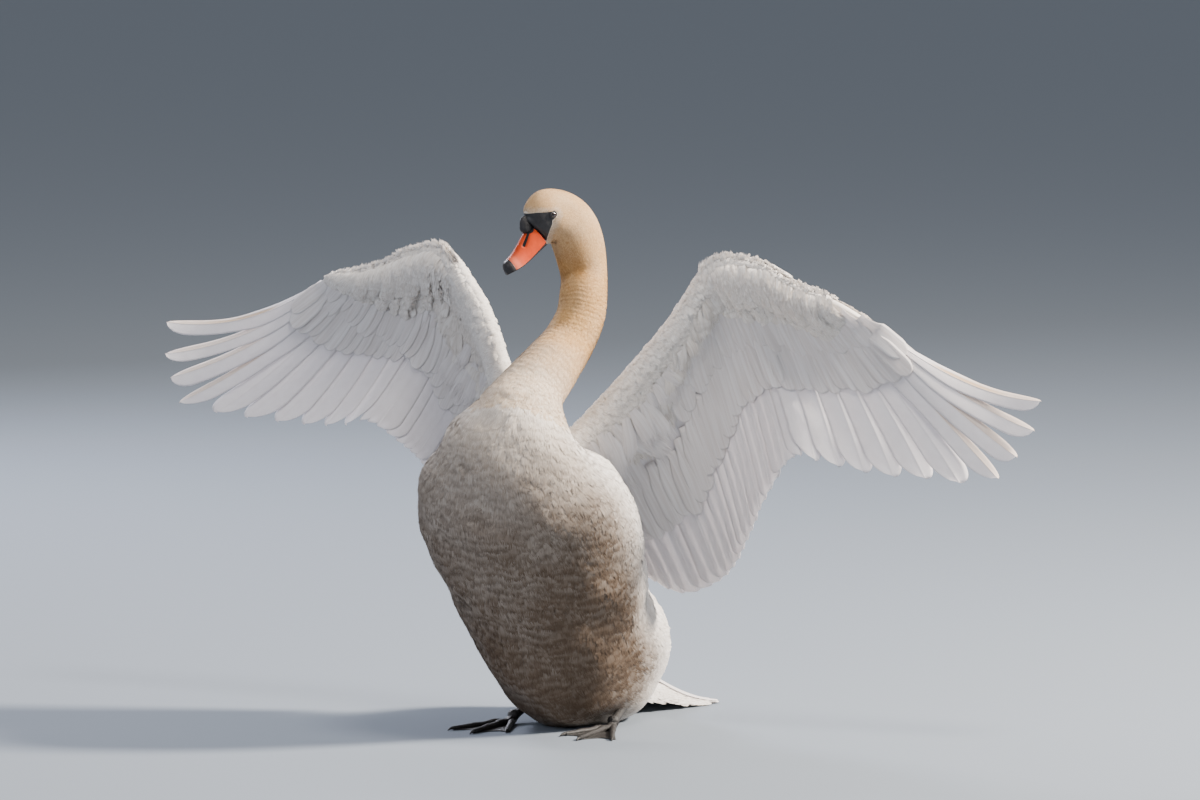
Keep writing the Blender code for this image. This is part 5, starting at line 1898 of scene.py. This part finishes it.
def make_toe(side, joint, degrees, length, radius):
    """A toe on the floor that tapers in knuckles, with its curved claw."""
    turn = math.radians(degrees) * side
    ahead = np.array([math.sin(turn), -math.cos(turn), 0.0])
    part = np.linspace(0, 1, 40)
    radii = radius * (1 - 0.42 * part) * (1 + 0.16 * np.cos(2 * math.pi * part * 3) * (1 - part))
    line = joint * FLAT + part[:, None] * length * ahead
    line[:, 2] = radii
    toe = tube("toe", line, radii)
    part = np.linspace(0, 1, 12)
    radii = 0.0031 * (1 - part) ** 0.6 + 0.0004
    line = joint * FLAT + (length - CLAW_ROOT + part[:, None] * (CLAW_LENGTH + CLAW_ROOT)) * ahead
    line[:, 2] = radii + 0.00144 * np.sin(math.pi * part)
    return joined(toe, tube("claw", line, radii, 12))


def web_piece(side, joint):
    """Web between the toes: a thin fan whose free edge dips between toe tips by a sine."""
    turns, reaches, _ = np.transpose(TOES)
    degrees = np.linspace(turns[0] - 3, turns[-1] + 3, 49)
    dip = np.zeros_like(degrees)
    for first, last in zip(turns[:-1], turns[1:]):
        dip += 0.15 * np.sin(math.pi * np.clip((degrees - first) / (last - first), 0, 1))
    d, p = np.meshgrid(np.radians(degrees) * side, np.linspace(0.06, 1, 24))
    reach = np.interp(degrees, turns, reaches) * 0.97 * (1 - dip) * p
    x = joint[0] + reach * np.sin(d)
    y = joint[1] - reach * np.cos(d)
    tall = WEB_THICK * (1 - 0.55 * p) + 0.0004 * np.sin(9 * d + 12 * p) * p
    points = [np.stack([x, y, z], axis=-1).reshape(-1, 3) for z in (tall, np.full_like(x, 0.0002))]
    return closed_piece("web", np.concatenate(points), sheet_faces(*p.shape), MATERIALS["foot"])


def make_legs():
    """Webbed feet with jointed toes, claws and a folded shank."""
    for side, name in SIDES:
        joint = np.array([side * FOOT_JOINT[0], FOOT_JOINT[1], FOOT_JOINT[2]])
        foot, *others = [make_toe(side, joint, *toe) for toe in TOES]
        others.append(web_piece(side, joint))
        along, above, radii = np.transpose(BALL)
        others.append(tube("ball", joint + np.stack([0 * along, along, above], axis=-1), radii))
        for other in others:
            foot = joined(foot, other)
        foot.name = f"webbed_foot_{name}"
        finished(foot, "leg_skin", f"foot_{name}")
        hock = np.array([side * HOCK[0], HOCK[1], HOCK[2]])
        part = np.linspace(0, 1, 24)
        radii = np.interp(part, [0, 0.12, 0.5, 0.9, 1.0], [0.0090, 0.0078, 0.0068, 0.0100, 0.0092])
        shank = tube(f"shank_{name}", joint + (hock - joint) * part[:, None], radii)
        finished(shank, "leg_skin", f"leg_{name}")


# ---- studio


def make_camera():
    """A long lens from the bird's front left, a little above it."""
    azimuth, elevation, distance = math.radians(25), math.radians(5.5), 14.0
    target = Vector((0.029, 0.0136, 0.54))
    away = Vector((
        math.sin(azimuth) * math.cos(elevation),
        -math.cos(azimuth) * math.cos(elevation),
        math.sin(elevation),
    ))
    data = bpy.data.cameras.new("camera")
    data.lens = 252.0
    data.sensor_width = 36.0
    data.clip_end = 500.0
    camera = bpy.data.objects.new("camera", data)
    camera.location = target + away * distance
    camera.rotation_euler = away.to_track_quat("Z", "Y").to_euler()
    bpy.context.scene.collection.objects.link(camera)
    bpy.context.scene.camera = camera


def soft_light(name, place, size, power, colour, target=(0.0, 0.0, 0.45)):
    """A round soft lamp that looks at the bird, with its power in watts."""
    data = bpy.data.lights.new(name, "AREA")
    data.shape = "DISK"
    data.size = size
    data.energy = power
    data.color = linear(colour)[:3]
    light = bpy.data.objects.new(name, data)
    light.location = place
    light.rotation_euler = (Vector(place) - Vector(target)).to_track_quat("Z", "Y").to_euler()
    bpy.context.scene.collection.objects.link(light)


def make_studio():
    """Pale floor, an even sky and soft lights: the main one high at the right and a little behind."""
    floor = new_piece(
        "floor", np.array([[-90, -90, 0], [90, -90, 0], [90, 90, 0], [-90, 90, 0]], float),
        np.array([[0, 1, 2, 3]]), MATERIALS["floor"],
    )
    world = bpy.data.worlds.new("studio")
    world.use_nodes = True
    world.node_tree.nodes["Background"].inputs["Color"].default_value = linear("#CFD2D8")
    world.node_tree.nodes["Background"].inputs["Strength"].default_value = 0.70
    bpy.context.scene.world = world
    soft_light("main", (4.6, 1.9, 3.9), 1.0, 1700, "#FFF4E6")
    soft_light("front", (-2.6, -5.0, 2.6), 3.0, 90, "#EEF2FF")
    soft_light("rim", (-3.8, 3.0, 3.0), 1.6, 270, "#EEF0FF")
    soft_light("shoulder", (1.8, -1.0, 4.8), 1.4, 165, "#FFF8F0")


# ---- making


make_camera()
make_studio()
make_skin()
body_coat()
for wing in ("left", "right"):
    flight_feathers(wing)
    wing_coat(wing)
make_tail()
make_sheath()
make_nail()
make_lower_bill()
make_knob()
make_eyes()
make_legs()
